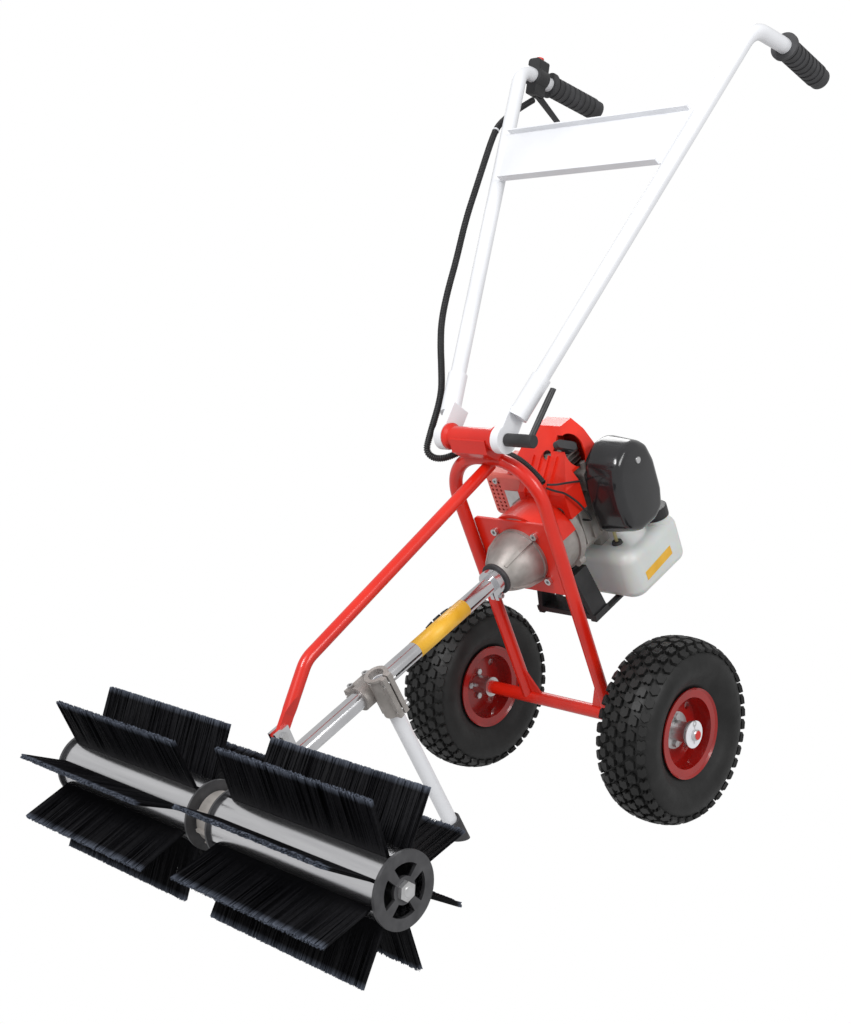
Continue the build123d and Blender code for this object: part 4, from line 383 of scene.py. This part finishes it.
wears = [
    (redPaint, ["arch_tube", "engine_plate", "pivot_saddle", "strut"]),
    (rimPaint, ["left_rim", "right_rim"]),
    (guardPaint, ["muffler_guard"]),
    (redPlastic, ["top_cover", "stop_button"]),
    (whitePaint, ["leg_tube", "left_handle_tube", "right_handle_tube", "handle_crosspiece"]),
    (tyreRubber, ["left_tyre", "right_tyre"]),
    (softRubber, ["rubber_ring", "leg_foot", "plug_cap", "left_grip", "right_grip"]),
    (blackPlastic, ["clamp_lever", "fuel_cap", "starter_handle", "throttle_lever", "starter_housing"]),
    (blackPlastic, ["throttle_housing", "handle_conduit", "frame_conduit", "engine_wires", "engine_stand"]),
    (glossBlack, ["filter_cover"]),
    (castMetal, ["gearbox_housing", "clutch_housing", "leg_bracket", "crankcase", "cylinder", "carburettor"]),
    (castMetal, ["flywheel", "fan_housing"]),
    (polished, ["brush_drums"]),
    (boomMetal, ["shaft_tube", "boom_clamps"]),
    (zinc, ["left_hub", "right_hub", "axle_rod", "frame_screws", "brush_shaft", "crankshaft", "drive_shaft"]),
    (zinc, ["pivot_bolt"]),
    (discMetal, ["drum_end_plates"]),
    (gearSteel, ["bevel_gear", "drive_pinion", "clutch_drum", "clutch_shoes"]),
    (bronze, ["drive_bearings"]),
    (sootMetal, ["muffler"]),
    (tankPlastic, ["fuel_tank"]),
    (bristleFibre, ["left_bristles", "right_bristles"]),
]
for material, names in wears:
    for name in names:
        nodes[name].data.materials.clear()
        nodes[name].data.materials.append(material)
print("materials done")

# Bristles: three staggered rows of fine strands in each of the eight strips of a drum, on a backing
bristleRows = {
    "strips": 8,
    "start": 0.0335,
    "pitch": 0.00137,
    "count": 188,
    "root": 0.0385,
    "tip": 0.1052,
    "thickness": 0.00072,
    "taper": 0.8,
    "spread": 0.0012,
    "rowGap": 0.0015,
    "leftAngle": 19,
    "rightAngle": 26,
}
backing = {"from": 0.0313, "to": 0.2922, "depth": 0.0086, "height": 0.0036, "radius": 0.0337}


def makeBristles(name, side, firstAngle, seed):
    rows = []
    middle = (bristleRows["tip"] + bristleRows["root"]) / 2
    for row in (-1, 0, 1):
        deselect()
        bpy.ops.mesh.primitive_cone_add(
            vertices=3,
            radius1=bristleRows["thickness"],
            radius2=bristleRows["thickness"] * bristleRows["taper"],
            depth=bristleRows["tip"] - bristleRows["root"],
            location=(
                bristleRows["start"] + (row + 1) * bristleRows["pitch"] / 3,
                row * bristleRows["rowGap"],
                middle,
            ),
        )
        strand = settle(name)
        repeat = strand.modifiers.new("along", "ARRAY")
        repeat.count = bristleRows["count"]
        repeat.use_relative_offset = False
        repeat.use_constant_offset = True
        repeat.constant_offset_displace = (bristleRows["pitch"], 0, 0)
        applyModifiers(strand)
        rows.append(strand)
    piece = join(name, rows)
    repeatRound(bristleRows["strips"])
    for vertex in piece.data.vertices:
        vertex.select = (vertex.co.y**2 + vertex.co.z**2) ** 0.5 > middle
    bpy.ops.object.mode_set(mode="EDIT")
    bpy.ops.transform.vertex_random(offset=bristleRows["spread"], uniform=1, normal=0, seed=seed)
    strip = block(
        "backing",
        ((backing["from"] + backing["to"]) / 2, 0, backing["radius"]),
        (backing["to"] - backing["from"], backing["depth"], backing["height"]),
        (0, 0, 0),
        0,
    )
    repeatRound(bristleRows["strips"])
    piece = join(name, [piece, strip])
    piece.rotation_euler = (radians(firstAngle - 90), 0, 0)
    piece.location = brushCentre
    if side < 0:
        piece.location.x -= backing["from"] + backing["to"]
    bakePlace(piece)
    return piece


leftBristles = makeBristles("leftBristleRows", 1, bristleRows["leftAngle"], 3)
place(leftBristles, "brush", bristleFibre, ["left_bristles"])
rightBristles = makeBristles("rightBristleRows", -1, bristleRows["rightAngle"], 8)
place(rightBristles, "brush", bristleFibre, ["right_bristles"])
print("bristles done")

# Corrugated conduit: rings on a thin core, bent along one route from the throttle to the engine
conduitRing = {
    "major": 0.0040,
    "minor": 0.00105,
    "pitch": 0.0027,
    "core": 0.0038,
    "sides": 14,
    "ringSides": 6,
}
conduitRoute = [
    (-0.2110, axleY + 0.1517, 1.0363),
    (-0.2160, axleY + 0.118, 1.018),
    (-0.2060, axleY + 0.066, 0.990),
    (-0.1970, axleY + 0.042, 0.966),
    (-0.1870, axleY + 0.016, 0.932),
    (-0.1820, axleY - 0.008, 0.890),
    (-0.1760, axleY - 0.038, 0.838),
    (-0.1620, axleY - 0.073, 0.775),
    (-0.1540, axleY - 0.098, 0.733),
    (-0.1420, axleY - 0.123, 0.690),
    (-0.1260, axleY - 0.141, 0.655),
    (-0.1070, axleY - 0.158, 0.620),
    (-0.0890, axleY - 0.176, 0.586),
    (-0.0840, axleY - 0.204, 0.533),
    (-0.0860, axleY - 0.211, 0.508),
    (-0.0750, axleY - 0.194, 0.497),
    (-0.0560, axleY - 0.164, 0.511),
    (-0.0340, axleY - 0.145, 0.514),
    (-0.0060, axleY - 0.136, 0.509),
    (0.0300, axleY - 0.133, 0.496),
    (0.0600, axleY - 0.1327, 0.4714),
]


def makeConduit(name):
    data = bpy.data.curves.new("route", "CURVE")
    data.dimensions = "3D"
    spline = data.splines.new("NURBS")
    spline.points.add(len(conduitRoute) - 1)
    for point, spot in zip(spline.points, conduitRoute):
        point.co = (*spot, 1)
    spline.order_u = 3
    spline.use_endpoint_u = True
    spline.resolution_u = 12
    guide = bpy.data.objects.new("route", data)
    bpy.context.collection.objects.link(guide)
    deselect()
    bpy.ops.mesh.primitive_torus_add(
        major_segments=conduitRing["sides"],
        minor_segments=conduitRing["ringSides"],
        major_radius=conduitRing["major"],
        minor_radius=conduitRing["minor"],
        rotation=(0, pi / 2, 0),
        location=(conduitRing["pitch"] / 2, 0, 0),
    )
    ring = settle("ring")
    deselect()
    bpy.ops.mesh.primitive_cylinder_add(
        vertices=conduitRing["sides"],
        radius=conduitRing["core"],
        depth=conduitRing["pitch"],
        end_fill_type="NOTHING",
        rotation=(0, pi / 2, 0),
        location=(conduitRing["pitch"] / 2, 0, 0),
    )
    piece = join(name, [ring, settle("core")])
    repeat = piece.modifiers.new("along", "ARRAY")
    repeat.fit_type = "FIT_CURVE"
    repeat.curve = guide
    repeat.use_relative_offset = False
    repeat.use_constant_offset = True
    repeat.constant_offset_displace = (conduitRing["pitch"], 0, 0)
    bend = piece.modifiers.new("bend", "CURVE")
    bend.object = guide
    bend.deform_axis = "POS_X"
    applyModifiers(piece)
    bpy.data.objects.remove(guide)
    smooth(piece)
    return piece


conduitPiece = makeConduit("conduitRibs")
dress(conduitPiece, blackPlastic, ["handle_conduit", "frame_conduit"])
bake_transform(conduitPiece)
print("conduit done")

# Air filter cover: a swollen moulding, one outline pushed out sideways with a tapered face and rounded edges
filterShell = {
    "outline": [
        (0.091, -0.012), (0.087, 0.030), (0.090, 0.070), (0.104, 0.098), (0.130, 0.112), (0.160, 0.109),
        (0.182, 0.092), (0.190, 0.060), (0.189, 0.010), (0.180, -0.020), (0.158, -0.031), (0.118, -0.030),
    ],
    "inner": 0.0605,
    "outer": 0.1185,
    "draft": 0.90,
    "rounding": 0.015,
    "roundingSteps": 6,
    "edgeAngle": 14,
}
filterPiece = pushOutline(
    "filterShell",
    [enginePoint(depth, filterShell["inner"], up) for depth, up in filterShell["outline"]],
    (filterShell["outer"] - filterShell["inner"], 0, 0),
    (1, filterShell["draft"], filterShell["draft"]),
)
rounding = filterPiece.modifiers.new("rounding", "BEVEL")
rounding.width = filterShell["rounding"]
rounding.segments = filterShell["roundingSteps"]
rounding.limit_method = "ANGLE"
rounding.angle_limit = radians(filterShell["edgeAngle"])
applyModifiers(filterPiece)
smooth(filterPiece)
place(filterPiece, "frame", glossBlack, ["filter_cover"])
filterScrew = {
    "depth": 0.148,
    "up": 0.076,
    "radius": 0.0055,
    "sunk": 0.0045,
    "length": 0.006,
    "widen": 0.85,
}
screwSeat = enginePoint(filterScrew["depth"], filterShell["outer"] - filterScrew["sunk"], filterScrew["up"])
filterScrewPiece = rod(
    "filterScrew", screwSeat, screwSeat + Vector((filterScrew["length"], 0, 0)), filterScrew["radius"], 20,
    filterScrew["widen"],
)
place(filterScrewPiece, "frame", zinc)
print("filter cover done")

# Red shroud over the upper half of the fan housing, and the bare plate beside it
shroud = {"radius": 0.0625, "front": 0.0015, "back": 0.0510, "foot": 0.016}
shroudPiece = rod(
    "fanShroud", enginePoint(shroud["front"], 0, 0), enginePoint(shroud["back"], 0, 0), shroud["radius"], 64
)
editAll()
bpy.ops.mesh.bisect(
    plane_co=enginePoint(0, 0, shroud["foot"]),
    plane_no=upShaft,
    use_fill=True,
    clear_inner=True,
    clear_outer=False,
)
bpy.ops.object.mode_set(mode="OBJECT")
place(shroudPiece, "frame", redPlastic)
plate = {"depth": 0.0652, "x": -0.047, "up": 0.043, "size": (0.040, 0.0012, 0.034), "rounding": 0.0004}
platePiece = block(
    "barePlate", enginePoint(plate["depth"], plate["x"], plate["up"]), plate["size"], (shaftSlope, 0, 0),
    plate["rounding"],
)
place(platePiece, "frame", zinc)

# Plain yellow bands on the boom and on the side of the tank
boomBand = {"from": 0.345, "to": 0.446, "radius": 0.0122}
boomBandPiece = rod(
    "boomBand", shaftPoint(boomBand["from"], 0, 0), shaftPoint(boomBand["to"], 0, 0), boomBand["radius"], 48
)
smooth(boomBandPiece)
place(boomBandPiece, "frame", bandYellow)
tankBand = {"depth": 0.158, "x": 0.0952, "up": -0.102, "size": (0.0006, 0.066, 0.014), "tilt": 4}
tankBandPiece = block(
    "tankBand", enginePoint(tankBand["depth"], tankBand["x"], tankBand["up"]), tankBand["size"],
    (shaftSlope + radians(tankBand["tilt"]), 0, 0), 0,
)
place(tankBandPiece, "frame", bandYellow)

# Hub caps: a pale washer and the red end of the axle on each side
hubWasher = {"radius": 0.0190, "from": 0.2196, "to": 0.2208}
axleEnd = {"radius": 0.0062, "from": 0.2262, "to": 0.2272}
for side, name in ((1, "left"), (-1, "right")):
    washerPiece = rod(
        name + "HubWasher", axlePoint(side * hubWasher["from"]), axlePoint(side * hubWasher["to"]),
        hubWasher["radius"], 40,
    )
    place(washerPiece, "frame", whitePaint)
    endPiece = rod(
        name + "AxleEnd", axlePoint(side * axleEnd["from"]), axlePoint(side * axleEnd["to"]),
        axleEnd["radius"], 24,
    )
    place(endPiece, "frame", redPaint)
print("bands and caps done")

# Turf tyres: a round carcass with six staggered rows of small tread blocks
carcass = {
    "halfProfile": [
        (0.0255, 0.0530), (0.0275, 0.0660), (0.0360, 0.0760), (0.0418, 0.0880), (0.0425, 0.0980),
        (0.0400, 0.1080), (0.0350, 0.1155), (0.0250, 0.1212), (0.0120, 0.1240), (0.0, 0.1246),
    ],
    "steps": 72,
    "weld": 0.00005,
}
tread = {
    "rows": (-0.0330, -0.0205, -0.0070, 0.0070, 0.0205, 0.0330),
    "radii": (0.1195, 0.1252, 0.1273, 0.1273, 0.1252, 0.1195),
    "tilts": (-34, -15, -4, 4, 15, 34),
    "count": 40,
    "size": (0.0118, 0.0160, 0.0050),
    "outline": [
        (-0.5, -0.30), (0.0, -0.52), (0.5, -0.30), (0.5, 0.32),
        (0.22, 0.42), (0.0, 0.26), (-0.22, 0.42), (-0.5, 0.32),
    ],
    "taper": (0.93, 0.95, 1),
    "sunk": 0.55,
}


def makeCarcass(name):
    deselect()
    half = carcass["halfProfile"]
    profile = half + [(-x, radius) for x, radius in reversed(half[:-1])]
    bpy.ops.mesh.primitive_circle_add(vertices=len(profile), radius=1, fill_type="NOTHING")
    piece = settle(name)
    for vertex, (x, radius) in zip(piece.data.vertices, profile):
        vertex.co = (x, 0, radius)
    editAll()
    bpy.ops.mesh.spin(steps=carcass["steps"], angle=2 * pi, center=(0, 0, 0), axis=(1, 0, 0))
    bpy.ops.mesh.select_all(action="SELECT")
    bpy.ops.mesh.remove_doubles(threshold=carcass["weld"])
    bpy.ops.mesh.normals_make_consistent(inside=False)
    bpy.ops.object.mode_set(mode="OBJECT")
    smooth(piece)
    return piece


def makeTyre(name, side):
    across, along, height = tread["size"]
    parts = [makeCarcass(name)]
    for row, (x, radius, tilt) in enumerate(zip(tread["rows"], tread["radii"], tread["tilts"])):
        flip = 1 if row % 2 else -1
        corners = [(u * across, flip * v * along, 0) for u, v in tread["outline"]]
        knob = pushOutline("knob", corners, (0, 0, height), tread["taper"])
        knob.rotation_euler = (0, radians(tilt), 0)
        knob.location = (x, 0, radius - height * tread["sunk"])
        bakePlace(knob)
        knob.rotation_euler = (pi / tread["count"] * (row % 2), 0, 0)
        bakePlace(knob)
        repeatRound(tread["count"])
        parts.append(knob)
    tyre = join(name, parts)
    tyre.location = axlePoint(side * wheelTrack / 2)
    bakePlace(tyre)
    return tyre


place(makeTyre("leftTyreTread", 1), "left_wheel", tyreRubber, ["left_tyre"])
place(makeTyre("rightTyreTread", -1), "right_wheel", tyreRubber, ["right_tyre"])
print("tyres done")

# White tie round the conduit
conduitTie = {
    "centre": Vector((-0.2015, axleY + 0.054, 0.978)),
    "run": Vector((0.009, -0.024, -0.024)).normalized(),
    "half": 0.0013,
    "radius": 0.0056,
}
tieReach = conduitTie["run"] * conduitTie["half"]
tiePiece = rod(
    "conduitTie", conduitTie["centre"] - tieReach, conduitTie["centre"] + tieReach, conduitTie["radius"], 24
)
place(tiePiece, "handlebar", whitePaint)
print("tie done")

# Starter rope between the housing and its handle
rope = {"radius": 0.0012, "depth": 0.1612, "up": -0.012, "from": -0.050, "to": -0.0640}
ropeStart = enginePoint(rope["depth"], rope["from"], rope["up"])
ropeEnd = enginePoint(rope["depth"], rope["to"], rope["up"])
ropePiece = rod("starterRope", ropeStart, ropeEnd, rope["radius"], 10)
dress(ropePiece, whitePaint)
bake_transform(ropePiece)

# Fuel line from the grommet on the tank to the carburettor
fuelLine = {
    "radius": 0.0026,
    "route": [(0.132, 0.052, -0.064), (0.132, 0.052, -0.020), (0.128, 0.050, 0.030), (0.124, 0.046, 0.046)],
}
linePoints = [enginePoint(depth, x, up) for depth, x, up in fuelLine["route"]]
lineParts = [
    rod("lineRun", first, second, fuelLine["radius"], 12) for first, second in zip(linePoints, linePoints[1:])
]
linePiece = join("fuelLine", lineParts)
place(linePiece, "frame", fuelHose)
smooth(linePiece)
grommet = {"depth": 0.132, "x": 0.052, "foot": -0.060, "top": -0.054, "radius": 0.0085, "widen": 0.85}
grommetPiece = rod(
    "fuelGrommet",
    enginePoint(grommet["depth"], grommet["x"], grommet["foot"]),
    enginePoint(grommet["depth"], grommet["x"], grommet["top"]),
    grommet["radius"],
    24,
    grommet["widen"],
)
place(grommetPiece, "frame", softRubber)
print("trims done")

# Camera
view = {"lens": 49.62, "sensor": 36, "place": (1.2908, axleY - 1.5730, 0.6646), "tilt": 82.98, "turn": 45.3}
scene = bpy.context.scene
cameraData = bpy.data.cameras.new("camera")
cameraData.lens = view["lens"]
cameraData.sensor_width = view["sensor"]
camera = bpy.data.objects.new("camera", cameraData)
scene.collection.objects.link(camera)
camera.location = view["place"]
camera.rotation_euler = (radians(view["tilt"]), 0, radians(view["turn"]))
scene.camera = camera

# White studio: the background is white to the camera, softer grey in reflections.
studio = {"ambient": 0.62, "mirrored": 0.55, "backdrop": 1.0}
world = bpy.data.worlds.new("studio")
scene.world = world
world.use_nodes = True
worldTree = world.node_tree
worldTree.nodes.clear()


def addWhite(strength):
    light = worldTree.nodes.new("ShaderNodeBackground")
    light.inputs["Color"].default_value = (1, 1, 1, 1)
    light.inputs["Strength"].default_value = strength
    return light.outputs["Background"]


rays = worldTree.nodes.new("ShaderNodeLightPath")
litMix = worldTree.nodes.new("ShaderNodeMixShader")
seenMix = worldTree.nodes.new("ShaderNodeMixShader")
output = worldTree.nodes.new("ShaderNodeOutputWorld")
worldTree.links.new(rays.outputs["Is Glossy Ray"], litMix.inputs["Fac"])
worldTree.links.new(addWhite(studio["ambient"]), litMix.inputs[1])
worldTree.links.new(addWhite(studio["mirrored"]), litMix.inputs[2])
worldTree.links.new(rays.outputs["Is Camera Ray"], seenMix.inputs["Fac"])
worldTree.links.new(litMix.outputs["Shader"], seenMix.inputs[1])
worldTree.links.new(addWhite(studio["backdrop"]), seenMix.inputs[2])
worldTree.links.new(seenMix.outputs["Shader"], output.inputs["Surface"])

# Three square lamps, all turned to the middle of the sweeper
lampAim = Vector((0, 0, 0.45))
lamps = {
    "keyLamp": {"place": (0.2, -2.5, 2.4), "size": 0.9, "power": 62},
    "sideLamp": {"place": (2.4, -0.2, 1.5), "size": 1.0, "power": 24},
    "backLamp": {"place": (-1.6, 1.8, 2.2), "size": 1.2, "power": 20},
}
for name, facts in lamps.items():
    lampData = bpy.data.lights.new(name, "AREA")
    lampData.shape = "SQUARE"
    lampData.size = facts["size"]
    lampData.energy = facts["power"]
    lamp = bpy.data.objects.new(name, lampData)
    scene.collection.objects.link(lamp)
    lamp.location = facts["place"]
    lamp.rotation_euler = (lampAim - Vector(facts["place"])).to_track_quat("-Z", "Y").to_euler()

scene.view_settings.view_transform = "Standard"
scene.view_settings.look = "None"
scene.view_settings.exposure = 0
scene.view_settings.gamma = 1
print("camera and lamps done")
